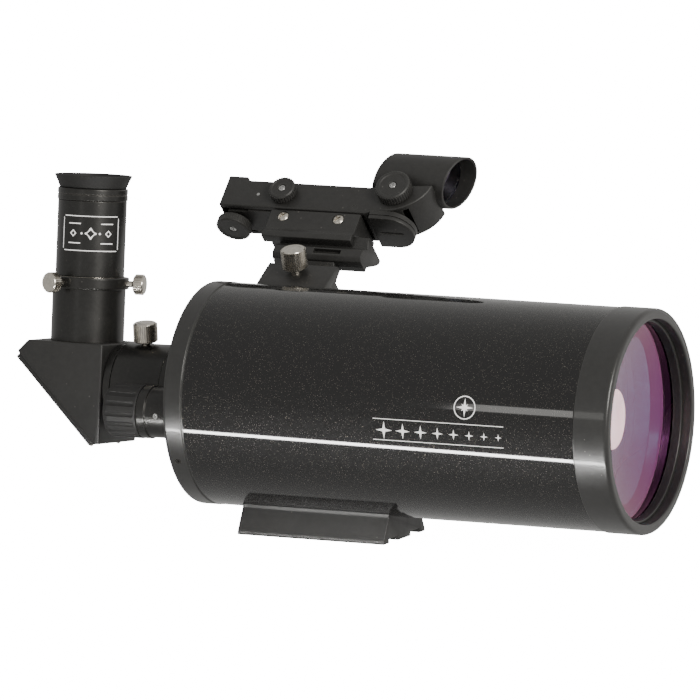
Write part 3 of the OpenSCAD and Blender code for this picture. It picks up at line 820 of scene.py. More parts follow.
def coated(name, colour, edge_rub_and_highlight_colour, rough=0.4, metallic=0.0, specular=0.5, grain=0.0004, depth=0.000008,
           edge=0.6, edge_radius=0.0004, coat=0.0, coat_rough=0.1, rough_span=0.1, dust=0.25, painted_light_strength=0.0):
    """Satin or moulded surface: grain, lighter rubbed edges that also act as painted edge highlights, smudged
    gloss, a little dust and an optional painted light from emission.
    """
    if name in bpy.data.materials:
        return bpy.data.materials[name]
    material, tree, shader = blank(name)
    marks = use(tree, smudge_group, Size=0.018, Dust=dust)
    edge_rub_and_highlight = use(tree, edge_rub_and_highlight_group, Radius=edge_radius, Break=0.45)
    texture = use(tree, grain_group, Size=grain, Depth=depth)
    # Painted highlight: the edge mask mixes a lighter colour onto edges, partly rubbed edges and partly painted
    # edge highlight.
    rubbed_and_highlit = maths(tree, "MULTIPLY", edge_rub_and_highlight.outputs["Mask"], edge)
    base = mixed(tree, rubbed_and_highlit, colour, edge_rub_and_highlight_colour)
    shade = mixed(tree, ramp(tree, texture.outputs["Mask"], 0.3, 0.7, 0.0, 0.18), base, (0.0, 0.0, 0.0))
    dusty = mixed(tree, marks.outputs["Dust"], shade, (0.35, 0.33, 0.3))
    tree.links.new(dusty, shader.inputs["Base Color"])
    gloss = ramp(tree, marks.outputs["Smudge"], 0.3, 0.7, rough - rough_span / 2, rough + rough_span / 2)
    tree.links.new(gloss, shader.inputs["Roughness"])
    tree.links.new(texture.outputs["Normal"], shader.inputs["Normal"])
    shader.inputs["Metallic"].default_value = metallic
    shader.inputs["Specular IOR Level"].default_value = specular
    shader.inputs["Coat Weight"].default_value = coat
    shader.inputs["Coat Roughness"].default_value = coat_rough
    # Painted light: the emission in the surface's own colour makes the part shine though it is no lamp.
    if painted_light_strength:
        tree.links.new(dusty, shader.inputs["Emission Color"])
        shader.inputs["Emission Strength"].default_value = painted_light_strength
    return material


def cell_black():
    """Satin black paint of the two cells and the retaining ring."""
    return coated("Satin black paint", fittings().black, (0.13, 0.125, 0.115), rough=0.36, specular=0.5,
                  grain=0.0005, depth=0.000006, edge_radius=0.0005, coat=0.28, coat_rough=0.08)


def anodised():
    """Black anodised aluminium."""
    return coated("Black anodised", (0.03, 0.0295, 0.028), (0.2, 0.19, 0.175), rough=0.3, metallic=0.55,
                  specular=0.6, grain=0.00025, depth=0.000003, edge_radius=0.00045, edge=0.7)


def moulded():
    """Moulded black plastic."""
    return coated("Moulded black plastic", fittings().plastic, (0.09, 0.088, 0.084), rough=0.47, specular=0.5,
                  grain=0.00045, depth=0.000012, edge_radius=0.0005, edge=0.55)


def rubber():
    """Black rubber of the grip and the eyecup."""
    return coated("Black rubber", (0.016, 0.0158, 0.0155), (0.06, 0.058, 0.056), rough=0.62, specular=0.4,
                  grain=0.0005, depth=0.000015, edge_radius=0.0003, edge=0.5, dust=0.4)


def matt_black():
    """Flat black of the baffles."""
    return coated("Flat black", (0.008, 0.008, 0.008), (0.05, 0.05, 0.05), rough=0.72, specular=0.3,
                  grain=0.0004, depth=0.00001, edge_radius=0.0003, edge=0.4)


def nickel():
    """Nickel plate of the thumbscrews and screw heads."""
    return coated("Nickel plate", fittings().nickel, (0.9, 0.88, 0.84), rough=0.24, metallic=1.0, specular=0.5,
                  grain=0.0003, depth=0.000003, edge_radius=0.0003, edge=0.5, rough_span=0.12, dust=0.1)


def steel():
    """Bright steel of pins and shafts."""
    return coated("Bright steel", (0.52, 0.52, 0.51), (0.8, 0.8, 0.79), rough=0.26, metallic=1.0,
                  grain=0.0002, depth=0.000003, edge_radius=0.0002, edge=0.5, dust=0.1)


def aluminium():
    """Turned aluminium, unpainted."""
    return coated("Turned aluminium", (0.56, 0.56, 0.57), (0.8, 0.8, 0.8), rough=0.38, metallic=1.0,
                  grain=0.0003, depth=0.000004, edge_radius=0.0003, edge=0.5, dust=0.1)


def brass():
    """Turned brass."""
    return coated("Turned brass", (0.6, 0.42, 0.18), (0.85, 0.68, 0.38), rough=0.3, metallic=1.0,
                  grain=0.0003, depth=0.000003, edge_radius=0.0003, edge=0.5, dust=0.1)


def print_white_painted_light():
    """Print of the marks in white, lit a little from within: the emission is painted light that brightens the
    print.
    """
    # Painted light: emission makes the printed marks brighter than the lamps alone light them.
    return coated("White print", tube_settings().mark_colour, (0.9, 0.9, 0.9), rough=0.38, specular=0.4,
                  grain=0.0003, depth=0.000002, edge=0.2, dust=0.1, painted_light_strength=0.8)


def cream_spot_painted_light():
    """Cream spot behind the front lens, lit from within: its emission is painted light that stands in for the
    light reaching it through the lens.
    """
    return coated("Silvered spot", (0.95, 0.87, 0.74), (0.95, 0.9, 0.8), rough=0.3, grain=0.002,
                  depth=0.0000005, edge=0.1, dust=0.1, painted_light_strength=2.2)


def mirror():
    """Mirror coating."""
    return coated("Mirror coating", (0.9, 0.9, 0.89), (0.95, 0.95, 0.95), rough=0.05, metallic=1.0,
                  grain=0.002, depth=0.0000005, edge=0.1, rough_span=0.03, dust=0.1)


def tube_paint():
    """Gloss black lacquer over fine metal flakes, with faint wipe marks in its gloss."""
    name = "Flake lacquer"
    if name in bpy.data.materials:
        return bpy.data.materials[name]
    material, tree, shader = blank(name)
    settings = tube_settings()
    flakes = use(tree, flake_group, Size=settings.flake_size, Share=0.1, Tilt=0.5)
    marks = use(tree, smudge_group, Size=0.03, Dust=0.2)
    edge_rub_and_highlight = use(tree, edge_rub_and_highlight_group, Radius=0.0004, Break=0.3)
    base = mixed(tree, flakes.outputs["Mask"], settings.paint, settings.flake)
    # Painted highlight: a lighter colour on the edges, partly rubbed paint and partly painted edge highlight.
    edged = mixed(tree, maths(tree, "MULTIPLY", edge_rub_and_highlight.outputs["Mask"], 0.5), base, (0.12, 0.11, 0.1))
    dusty = mixed(tree, marks.outputs["Dust"], edged, (0.3, 0.28, 0.25))
    tree.links.new(dusty, shader.inputs["Base Color"])
    tree.links.new(maths(tree, "MULTIPLY", flakes.outputs["Mask"], 0.6), shader.inputs["Metallic"])
    tree.links.new(flakes.outputs["Normal"], shader.inputs["Normal"])
    tree.links.new(ramp(tree, marks.outputs["Smudge"], 0.3, 0.7, 0.4, 0.5), shader.inputs["Roughness"])
    shader.inputs["Specular IOR Level"].default_value = 0.05
    shader.inputs["Coat Weight"].default_value = 1.0
    shader.inputs["Coat Roughness"].default_value = 0.05
    shader.inputs["Coat IOR"].default_value = 1.5
    return material


def glass(name, tint, film, film_ior, rough=0.0):
    """Clear glass with a thin coloured film, faintly dusty."""
    if name in bpy.data.materials:
        return bpy.data.materials[name]
    material, tree, shader = blank(name)
    marks = use(tree, smudge_group, Size=0.03, Dust=0.25)
    tree.links.new(mixed(tree, marks.outputs["Dust"], tint, (0.6, 0.58, 0.55)), shader.inputs["Base Color"])
    gloss = ramp(tree, marks.outputs["Smudge"], 0.35, 0.75, rough, rough + 0.02)
    tree.links.new(gloss, shader.inputs["Roughness"])
    shader.inputs["Transmission Weight"].default_value = 1.0
    shader.inputs["IOR"].default_value = 1.5
    shader.inputs["Thin Film Thickness"].default_value = film
    shader.inputs["Thin Film IOR"].default_value = film_ior
    return material


def corrector_glass():
    """Glass of the front lens, tinted by its coating."""
    return glass("Coated corrector glass", (0.84, 0.66, 0.82), 268.0, 2.1)


def lens_glass():
    """Glass of the eyepiece."""
    return glass("Eyepiece glass", (0.97, 0.98, 0.98), 110.0, 1.38)


def finder_glass():
    """Dark glass of the finder with a dull red film."""
    return glass("Red-reflecting glass", (0.5, 0.44, 0.42), 395.0, 1.6)


def emitter():
    """Red diode lens, softly lit."""
    name = "Red diode"
    if name in bpy.data.materials:
        return bpy.data.materials[name]
    material, tree, shader = blank(name)
    marks = use(tree, smudge_group, Size=0.002, Dust=0.1)
    tree.links.new(mixed(tree, marks.outputs["Smudge"], (0.5, 0.02, 0.02), (0.35, 0.01, 0.01)),
                   shader.inputs["Base Color"])
    shader.inputs["Roughness"].default_value = 0.2
    shader.inputs["Emission Color"].default_value = (1, 0.04, 0.02, 1)
    shader.inputs["Emission Strength"].default_value = 0.3
    return material


def floor_surface():
    """Plain pale floor without gloss."""
    name = "Floor"
    if name in bpy.data.materials:
        return bpy.data.materials[name]
    material, tree, shader = blank(name)
    place = tree.nodes.new("ShaderNodeTexCoord")
    noise = wire(tree, "ShaderNodeTexNoise", {"Vector": place.outputs["Object"]}, values={"Scale": 6.0})
    colour = studio().floor_colour
    tree.links.new(mixed(tree, ramp(tree, noise.outputs["Fac"], 0.3, 0.7, 0.0, 0.04), colour, (0.8, 0.8, 0.8)),
                   shader.inputs["Base Color"])
    shader.inputs["Roughness"].default_value = 1.0
    shader.inputs["Specular IOR Level"].default_value = 0.0
    shader.inputs["Emission Color"].default_value = (1, 1, 1, 1)
    seen = tree.nodes.new("ShaderNodeLightPath").outputs["Is Camera Ray"]
    tree.links.new(maths(tree, "MULTIPLY", seen, studio().backdrop), shader.inputs["Emission Strength"])
    return material


# ---------------------------------------------------------------- operators


class PieceOperator:
    """Shared settings of the build operators."""

    bl_options = {"REGISTER", "UNDO"}


class TELESCOPE_OT_tube(PieceOperator, bpy.types.Operator):
    """Painted tube with its printed marks"""

    bl_idname = "telescope.tube"
    bl_label = "Tube"

    def execute(self, context):
        settings = context.scene.telescope_tube
        bore = TUBE_R - 1.2
        shell = lathe(rounded([(bore, TUBE_START), (TUBE_R, TUBE_START), (TUBE_R, TUBE_END),
                               (bore, TUBE_END)], 0.35, 3), settings.segments)
        add_piece("tube_shell", shell, TUBE @ LAY, tube_paint(), "root", "tube_paint", "tube")
        add_piece("tube_marks", tube_marks(), TUBE, print_white_painted_light(), "root", "tube_paint")
        return {"FINISHED"}


def star(reach_out, waist, low, high):
    """Flat four-point star in the plane of a decal."""
    outline = []
    for i in range(4):
        a = i * math.pi / 2
        outline.append((reach_out * math.cos(a), reach_out * math.sin(a)))
        outline.append((waist * math.cos(a + math.pi / 4), waist * math.sin(a + math.pi / 4)))
    return extruded(outline, low, high)


def decal_bar(x0, x1, y0, y1, low, high):
    """Flat bar of a decal, made in short rows so that it bends with the surface."""
    rows = max(1, int(abs(y1 - y0) / 0.8))
    bm = bmesh.new()
    rings = []
    for i in range(rows + 1):
        y = y0 + (y1 - y0) * i / rows
        rings.append([bm.verts.new(c) for c in ((x0, y, low), (x1, y, low), (x1, y, high), (x0, y, high))])
    for first, second in zip(rings, rings[1:]):
        for i in range(4):
            j = (i + 1) % 4
            bm.faces.new((first[i], first[j], second[j], second[i]))
    bm.faces.new(rings[0])
    bm.faces.new(rings[-1])
    bmesh.ops.recalc_face_normals(bm, faces=bm.faces)
    return to_mesh(bm, "bar")


def tube_marks():
    """Row of shrinking stars between two fine lines, and a ringed star above, wrapped on the tube."""
    low, high = -0.05, 0.035
    middle_y, first, last, pitch = -3.6, 112.0, 171.0, 9.4
    parts = []
    place, size = first, 4.1
    while place < last:
        parts.append(placed(star(size, size * 0.24, low, high), at(place, middle_y)))
        place += pitch * (0.55 + 0.45 * size / 4.1)
        size *= 0.88
    for y in (-8.4, 1.4):
        parts.append(decal_bar(106.5, 171.5, y, y + 0.32, low, high))
    centre = (152.0, 9.2)
    ring = cut(extruded(circle(5.4, 64), low, high), extruded(circle(4.95, 64), low - 1, high + 1))
    parts.append(placed(ring, at(*centre)))
    parts.append(placed(star(4.3, 0.95, low, high), at(*centre)))
    parts.append(placed(star(2.3, 0.7, low, high + 0.004), at(*centre), turned(45)))
    return wrapped(joined(*parts), TUBE_R)


class TELESCOPE_OT_cells(PieceOperator, bpy.types.Operator):
    """Front and rear cells that close the tube"""

    bl_idname = "telescope.cells"
    bl_label = "Cells"

    def execute(self, context):
        segments = context.scene.telescope_tube.segments
        spigot = TUBE_R - 1.25
        back_r = (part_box("rear_cell")[1][2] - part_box("rear_cell")[0][2]) / MM / 2
        front = lathe(rounded([
            (spigot - 6, 186), (spigot, 186), (spigot, TUBE_END, 0), (CELL_R, TUBE_END, 0.35),
            (CELL_R, FRONT_FACE, 2.0), (FRONT_BORE, FRONT_FACE, 0.9), (FRONT_BORE, 206.35, 0),
            (CLEAR_R - 0.3, 206.35, 0.2), (CLEAR_R - 0.3, 190, 0.2),
        ], 0.3, 5), segments)
        add_piece("front_cell_shell", front, TUBE @ LAY, cell_black(), "root", "cell_black", "front_cell")
        back = lathe(rounded([
            (14, 6), (14, 3), (20, 3), (20, -3), (22, -3, 0.6), (22, 0, 0.5), (back_r, 0, 1.8),
            (back_r, TUBE_START - 1, 0.5), (back_r - 0.6, TUBE_START - 0.6, 0.2),
            (back_r - 0.6, TUBE_START, 0), (spigot, TUBE_START, 0), (spigot, 24), (spigot - 3, 24),
            (spigot - 3, 6),
        ], 0.2, 5), segments)
        shaft = (KNOB.translation - TUBE.translation) / MM
        bushing_hole = placed(lathe([(0, -2), (7, -2), (7, 8), (0, 8)], 64), at(*shaft), LAY)
        screw_holes = [
            placed(lathe([(0, back_r - 5), (1.55, back_r - 5), (1.55, back_r + 2), (0, back_r + 2)], 32),
                   turned(a, "X"), at(5))
            for a in (0, 120, 240)
        ]
        shell = cut(placed(back, LAY), bushing_hole, *screw_holes)
        add_piece("rear_cell_shell", shell, TUBE, cell_black(), "root", "cell_black", "rear_cell")
        return {"FINISHED"}


class TELESCOPE_OT_corrector(PieceOperator, bpy.types.Operator):
    """Corrector lens with the ring that holds it"""

    bl_idname = "telescope.corrector"
    bl_label = "Corrector"

    def execute(self, context):
        segments = context.scene.telescope_tube.segments
        outer, curve, thick, front_x = 46.9, 135.0, 6.5, 205.5
        front = face_arc(curve, front_x, 0, outer)
        back = face_arc(curve + thick, front_x - thick, 0, outer)
        lens = lathe(front + list(reversed(back)), segments)
        add_piece("corrector_lens", lens, TUBE @ LAY, corrector_glass(), "root", "coated_glass", "corrector",
                  smooth=30)
        ring = lathe(rounded([
            (CLEAR_R, 214.1), (outer, 214.1), (outer, 218.4, 0.2), (CLEAR_R, 218.4, 0.5),
        ], 0.1), segments)
        add_piece("corrector_ring_shell", ring, TUBE @ LAY, cell_black(), "root", "matt_black",
                  "corrector_ring")
        paint_node(cream_spot_painted_light(), "secondary_spot")
        paint_node(mirror(), "primary_mirror", "diagonal_mirror")
        paint_node(matt_black(), "secondary_baffle", "baffle_tube", "mirror_retainer")
        paint_node(aluminium(), "mirror_carrier")
        return {"FINISHED"}


class TELESCOPE_OT_focus(PieceOperator, bpy.types.Operator):
    """Focus knob with its ribbed grip"""

    bl_idname = "telescope.focus"
    bl_label = "Focus knob"

    def execute(self, context):
        ribs = context.scene.telescope_fittings.grip_ribs
        hub = lathe(rounded([
            (2.5, -30), (0, -30, 0), (0, -33.4, 0), (9, -33.4), (9, -16.5), (12.3, -16.5, 0.6),
            (12.3, -12.3, 0.5), (11.7, -11.8, 0.2), (11.7, -0.6, 0.6), (2.5, -0.6),
        ], 0.3), 128)
        hole = placed(lathe([(0, 6), (1.3, 6), (1.3, 16), (0, 16)], 32), turned(90, "X"), at(-6.5))
        add_piece("focus_knob_hub", cut(placed(hub, LAY), hole), KNOB, anodised(), "focus", "anodised_black",
                  "focus_knob")
        grip = lathe(rounded([
            (9.02, -16.6, 0.1), (9.02, -33.5, 0), (0, -33.5, 0), (0, -34.1, 0), (10, -34.1, 0.8),
            (11.8, -33.1, 0.9), (12.5, -31, 0.9), (12.5, -16.6, 0.5),
        ], 0.3), 192)
        groove = lathe(rounded([(0, -37, 0), (1.5, -37, 0), (1.5, -17.6, 1.2), (0, -17.6, 0)], 0.5), 20)
        grooves = ring_of(groove, ribs, 13.2, rubber())
        add_piece("focus_grip_sleeve", placed(cut(grip, grooves), LAY), KNOB, rubber(), "focus", "rubber_black",
                  "focus_grip", smooth=45)
        paint_node(steel(), "focus_shaft", "focus_grub_screw")
        paint_node(brass(), "focus_bushing")
        return {"FINISHED"}


class TELESCOPE_OT_visual_back(PieceOperator, bpy.types.Operator):
    """Visual back, its lock ring and its thumbscrew"""

    bl_idname = "telescope.visual_back"
    bl_label = "Visual back"

    def execute(self, context):
        ridges = context.scene.telescope_fittings.knurls
        body = lathe(rounded([
            (HOLDER_BORE, -9), (HOLDER_BORE, -42, 0.5), (20.7, -42, 0.7), (20.7, -17, 0.4), (19.95, -17, 0.1),
            (19.95, 2.9), (13.2, 2.9), (13.2, -9),
        ], 0.2), 160)
        hole = placed(lathe([(0, 12), (2.1, 12), (2.1, 26), (0, 26)], 32), turned(6, "X"), at(-31.8))
        add_piece("visual_back_body", cut(placed(body, LAY), hole), TUBE, anodised(), "root", "anodised_black",
                  "visual_back")
        ring = lathe(rounded([(20, -16.9), (20.9, -16.9, 0.4), (21.6, -16.1, 0.5), (21.6, -3.9, 0.5),
                              (20.9, -3.1, 0.4), (20, -3.1)], 0.1), 160)
        notches = [placed(lathe([(0, 20.9), (1.6, 20.9), (1.6, 23), (0, 23)], 32), turned(60 * i, "X"), at(-10))
                   for i in range(6)]
        add_piece("visual_back_nut", cut(placed(ring, LAY), *notches), TUBE, anodised(), "root",
                  "anodised_black", "visual_back_ring")
        screw = thumbscrew(2, 5.75, 16.3, 22, 31.2, ridges, nickel())
        add_piece("visual_back_screw_head", screw, BACK_SCREW, nickel(), "visual_back_screw", "nickel",
                  "visual_back_thumbscrew")
        paint_node(anodised(), "rear_cell_screws")
        return {"FINISHED"}


class TELESCOPE_OT_diagonal(PieceOperator, bpy.types.Operator):
    """Star diagonal: nosepiece, housing, cover with its screws, eyepiece holder and collar"""

    bl_idname = "telescope.diagonal"
    bl_label = "Star diagonal"

    def execute(self, context):
        ridges = max(16, context.scene.telescope_fittings.knurls - 6)
        nose = lathe(rounded([
            (13.6, -46.7), (18.8, -46.7, 0.3), (19.5, -46, 0.5), (19.5, -42.9, 0.5), (18.9, -42.4, 0.2),
            (BARREL_R, -42.4, 0.1), (BARREL_R, -12, 0.7), (13.6, -12, 0.3),
        ], 0.2), 128)
        add_piece("nosepiece_tube", nose, DIAGONAL @ LAY, anodised(), "diagonal", "anodised_black",
                  "diagonal_nosepiece")
        outline = [(-46.7, 20), (-46.7, -26.7), (-49.6, -26.7), (-90.8, 14.5), (-85.4, 20)]
        housing = bevelled(placed(extruded(outline, -20, 20), SIDEWAYS), 0.9, 4)
        tools = [
            placed(lathe([(0, -66), (13.6, -66), (13.6, -40), (0, -40)], 96), LAY),
            placed(lathe([(0, -2), (14, -2), (14, 17), (16.6, 17), (16.6, 24), (0, 24)], 96), at(EYEPIECE_X)),
            placed(block((-24.5, -17, 0), (24.5, 17, 20)), at(EYEPIECE_X), turned(-135, "Y")),
        ]
        add_piece("diagonal_shell", cut(housing, *tools), DIAGONAL, moulded(), "diagonal", "moulded_black",
                  "diagonal_housing")
        back = DIAGONAL @ at(EYEPIECE_X) @ turned(-135, "Y")
        plate = bevelled(block((-27.8, -18.6, 8.6), (27.8, 18.6, 11.2)), 0.55, 4)
        plug = block((-22, -15, 6.2), (22, 15, 9))
        add_piece("diagonal_cover_plate", joined(plate, plug), back, moulded(), "diagonal", "moulded_black",
                  "diagonal_cover")
        screws = grid_of(cross_screw(2.1, 1.1), 2, 2, 51.8, 29, nickel())
        add_piece("cover_screw_heads", placed(screws, at(0, 0, 11.2)), back, nickel(), "diagonal", "nickel",
                  "cover_screws")
        stand = DIAGONAL @ at(EYEPIECE_X)
        holder = lathe(rounded([
            (HOLDER_BORE, 17), (16.55, 17), (16.55, 20, 0), (17.1, 20, 0.2), (17.1, 44.7, 0.1),
            (HOLDER_BORE, 44.7),
        ], 0.1), 160)
        add_piece("eyepiece_holder_tube", holder, stand, anodised(), "diagonal", "anodised_black",
                  "eyepiece_holder")
        collar = lathe(rounded([
            (HOLDER_BORE, 44.7, 0.1), (18.5, 44.7, 0.7), (18.5, 50.2, 0.7), (HOLDER_BORE, 50.2, 0.4),
        ], 0.3), 160)
        turns = (-110, 10)
        collar_middle = 47.45
        holes = [placed(lathe([(0, 12), (1.6, 12), (1.6, 24), (0, 24)], 24), at(0, 0, collar_middle),
                        turned(a), LAY) for a in turns]
        add_piece("holder_collar_ring", cut(collar, *holes), stand, anodised(), "diagonal", "anodised_black",
                  "holder_collar")
        for letter, angle in zip("ab", turns):
            screw = thumbscrew(1.5, 4.85, 16.3, 21.9, 26.8, ridges, nickel())
            place = stand @ at(0, 0, collar_middle) @ turned(angle) @ LAY
            add_piece("holder_screw_head_" + letter, screw, place, nickel(), "holder_screw_" + letter,
                      "nickel", "holder_thumbscrew_" + letter)
        return {"FINISHED"}


def eyepiece_marks():
    """Framed panel of plain bars and diamonds on the eyepiece's body."""
    low, high = -0.05, 0.035
    bottom, top, half = 62.5, 79.0, 14.6
    parts = []
    line = 0.42
    for x in (bottom, top - line):
        parts.append(decal_bar(x, x + line, -half + 1, half - 1, low, high))
    for y in (-half, half - line):
        parts.append(decal_bar(bottom + 1, top - 1, y, y + line, low, high))
    for x in (66.2, 75.3):
        for y in (-11.0, 4.8):
            parts.append(decal_bar(x - 0.25, x + 0.25, y, y + 6.2, low, high))
    for y, size in ((-8.6, 1.7), (0, 2.9), (8.6, 1.7)):
        diamond = extruded([(size, 0), (0, size), (-size, 0), (0, -size)], low, high)
        hollow = size * 0.6
        gap = extruded([(hollow, 0), (0, hollow), (-hollow, 0), (0, -hollow)], low - 1, high + 1)
        parts.append(placed(cut(diamond, gap), at(70.75, y)))
    for y in (-4.3, 4.3):
        parts.append(placed(extruded(circle(0.5, 16), low, high), at(70.75, y)))
    return wrapped(joined(*parts), 16.1, upright=True)


class TELESCOPE_OT_eyepiece(PieceOperator, bpy.types.Operator):
    """Eyepiece: barrel, body with its printed panel, top ring and rubber cup"""

    bl_idname = "telescope.eyepiece"
    bl_label = "Eyepiece"

    def execute(self, context):
        stand = DIAGONAL @ at(EYEPIECE_X)
        barrel = lathe(rounded([
            (14.4, 24), (BARREL_R, 24, 0.5), (BARREL_R, 30, 0.3), (15.4, 30.8, 0.3), (15.4, 34.2, 0.3),
            (BARREL_R, 35, 0.3), (BARREL_R, 50.3, 0.1), (15, 50.3, 0.1), (15, 54), (14.4, 54),
        ], 0.2), 128)
        add_piece("eyepiece_barrel_tube", barrel, stand, nickel(), "eyepiece", "nickel", "eyepiece_barrel")
        body = lathe(rounded([
            (15.05, 50.3, 0.1), (16.1, 50.3, 0.5), (16.1, 85.7, 0.3), (12.5, 85.7), (12.5, 80), (14.4, 78),
            (14.4, 54.1), (15.05, 54.1),
        ], 0.2), 160)
        add_piece("eyepiece_body_shell", body, stand, anodised(), "eyepiece", "anodised_black", "eyepiece_body")
        add_piece("eyepiece_marks", eyepiece_marks(), stand @ turned(24.6), print_white_painted_light(), "eyepiece",
                  "anodised_black")
        ring = lathe(rounded([
            (10.6, 85.8), (16.4, 85.8, 0.5), (16.4, 88.3, 0.2), (16.1, 88.5, 0.1), (16.1, 88.8, 0.1),
            (16.4, 89, 0.2),
            (16.4, 91.5, 0.7), (14.5, 91.5), (14.5, 90.6), (10.6, 90.6),
        ], 0.2), 160)
        add_piece("eyepiece_top_shell", ring, stand, anodised(), "eyepiece", "anodised_black",
                  "eyepiece_top_ring")
        cup = lathe(rounded([
            (12.6, 90.7), (14.4, 90.7), (14.4, 91.6), (15.6, 91.6, 0.4), (16.8, 94.6, 3), (18.1, 97.3, 0.5),
            (17.8, 97.7, 0.3), (17.1, 97.5, 0.3), (15.9, 94.8, 3), (14.6, 92.6, 0.5), (12.6, 92.6, 0.3),
        ], 0.2), 128)
        add_piece("eyecup_rubber", cup, stand, rubber(), "eyepiece", "rubber_black", "eyecup", smooth=50)
        paint_node(lens_glass(), "field_lens", "eye_lens")
        return {"FINISHED"}


ALONG_X = Matrix(((0, 0, 1, 0), (1, 0, 0, 0), (0, 1, 0, 0), (0, 0, 0, 1)))


class TELESCOPE_OT_dovetail(PieceOperator, bpy.types.Operator):
    """Dovetail bar under the tube"""

    bl_idname = "telescope.dovetail"
    bl_label = "Dovetail bar"

    def execute(self, context):
        half, length, slope = 23.0, 74.6, math.radians(25)
        top = half - 12 * math.tan(slope)
        outline = [(-half, 0), (-17, 0), (-17, 2), (-7, 2), (-7, 0), (7, 0), (7, 2), (17, 2), (17, 0),
                   (half, 0), (half, 1.5), (top, 12), (top, 15.5), (-top, 15.5), (-top, 12), (-half, 1.5)]
        bar = bevelled(placed(extruded(outline, -length / 2, length / 2), ALONG_X), 0.5, 3, 20)
        tools = [placed(lathe([(0, -100), (TUBE_R + 0.02, -100), (TUBE_R + 0.02, 100), (0, 100)], 256),
                        at(0, 0, AXIS.z / MM), LAY)]
        for x in (-28, 28):
            tools.append(placed(lathe([(0, -1), (4, -1), (4, 4), (2.1, 4), (2.1, 17), (0, 17)], 48), at(x)))
        tools.append(placed(lathe([(0, -1), (3.1, -1), (2.55, 0.6), (2.55, 8), (0, 8)], 48), at(14)))
        add_piece("dovetail_bar_body", cut(bar, *tools), BAR, moulded(), "root", "moulded_black",
                  "dovetail_bar")
        paint_node(steel(), "dovetail_screws", "shoe_screws")
        return {"FINISHED"}


class TELESCOPE_OT_finder_base(PieceOperator, bpy.types.Operator):
    """Finder shoe with its thumbscrew, sliding bracket and clamp"""

    bl_idname = "telescope.finder_base"
    bl_label = "Finder base"

    def execute(self, context):
        ridges = context.scene.telescope_fittings.knurls
        line = at(31, -20.4, 59.3) @ turned(60, "X") @ at(0, 0, -12)
        outline = [(-20.5, 46), (20.5, 46), (20.5, 50), (17.4, 61), (16, 65), (12.2, 65), (12.2, 64.4),
                   (15, 54), (-15, 54), (-12.2, 64.4), (-12.2, 65), (-16, 65), (-17.4, 61), (-20.5, 50)]
        shoe = bevelled(placed(extruded(outline, 14.5, 49.5), ALONG_X), 0.45, 3, 20)
        tools = [
            placed(lathe([(0, -10), (TUBE_R + 0.02, -10), (TUBE_R + 0.02, 110), (0, 110)], 256), LAY),
            placed(lathe([(0, 0), (2.25, 0), (2.25, 30), (0, 30)], 32), line),
        ]
        for x in (20, 42):
            seat = lathe([(0, 44), (1.65, 44), (1.65, 52.65), (3.05, 52.65), (3.05, 60), (0, 60)], 40)
            tools.append(placed(seat, at(x)))
        add_piece("finder_shoe_body", cut(shoe, *tools), FINDER, moulded(), "root", "moulded_black",
                  "finder_shoe")
        screw = thumbscrew(2.2, 6, 5.7, 12, 21.8, ridges, nickel())
        add_piece("shoe_screw_head", screw, FINDER @ line, nickel(), "shoe_screw", "nickel", "shoe_thumbscrew")
        foot = [(-14.7, 54.3), (14.7, 54.3), (12.1, 64.2), (-12.1, 64.2)]
        neck = [(-12.1, 64.1), (12.1, 64.1), (6, 65.4), (1.6, 67.5), (1, 70), (1, 78), (-4, 73.6), (-7.6, 73.6),
                (-6.2, 71.6), (-6.2, 67.5), (-8, 65.6)]
        rail = [(-8.5, 73.5), (-4, 73.5), (6.8, 83.4), (8.7, 85.8), (8.7, 88), (-8.7, 88), (-8.7, 85.8),
                (-6.8, 83.4), (-6.8, 82.4), (-8.8, 81.4), (-10.4, 79.6), (-10.4, 75.4)]
        parts = [bevelled(placed(extruded(shape, x0, x1), ALONG_X), 0.35, 3, 20)
                 for shape, x0, x1 in ((foot, 16, 45), (neck, 19, 42), (rail, 10.5, 56))]
        cuts = [block((31, -11, 76.2), (45, -8.2, 78.8))]
        cuts += [block((x, -12, 86.6), (x + 4, 12, 90)) for x in (24, 34, 44)]
        add_piece("finder_bracket_body", joined(parts[0], parts[1], cut(parts[2], *cuts)), FINDER,
                  moulded(), "finder_base", "moulded_black", "finder_bracket")
        jaw = mirrored([(11, 97.8), (11, 86.4), (12.2, 84.4), (12.2, 81.2), (7.1, 81.2), (9, 83.7), (9, 86.2)])
        clamp = bevelled(placed(extruded(jaw, CLAMP_LOW, CLAMP_HIGH), ALONG_X), 0.5, 3, 25)
        seats = [placed(lathe([(0, 0), (1.5, 0), (1.5, 9.8), (2.9, 9.8), (2.9, 14), (0, 14)], 48), at(x, 0, 94),
                        SIDEWAYS) for x in (9.5, 37.9)]
        seats.append(placed(lathe([(0, 90), (2.5, 90), (2.5, 99), (0, 99)], 32), at(30)))
        add_piece("finder_clamp_body", cut(clamp, *seats), HEAD, moulded(), "finder_base", "moulded_black",
                  "finder_clamp")
        heads = grid_of(cross_screw(2.8, 1.9), 2, 1, 28.4, 0, nickel())
        add_piece("clamp_screw_heads", placed(heads, at(23.7, -9.8, 94), SIDEWAYS), HEAD, nickel(),
                  "finder_base", "nickel", "clamp_screws")
        paint_node(steel(), "yaw_pin", "housing_pin", "coin_cell")
        paint_node(moulded(), "finder_arm", "battery_holder", "pitch_pin")
        return {"FINISHED"}


def housing_side():
    """Side outline of the finder's housing: square tail with a raised pad, rounded nose."""
    nose = [(57 + 21.7 * math.cos(math.radians(a)) - 1.2 * math.sin(math.radians(a)),
             117.6 - 17.2 * math.sin(math.radians(a))) for a in range(8, 90, 4)]
    return [(-25.4, 98.6), (-25.4, 116), (-15.4, 116), (-14.8, 114), (48, 114), (78.9, 117.4), *nose,
            (54, 100.3), (50, 98.6)]


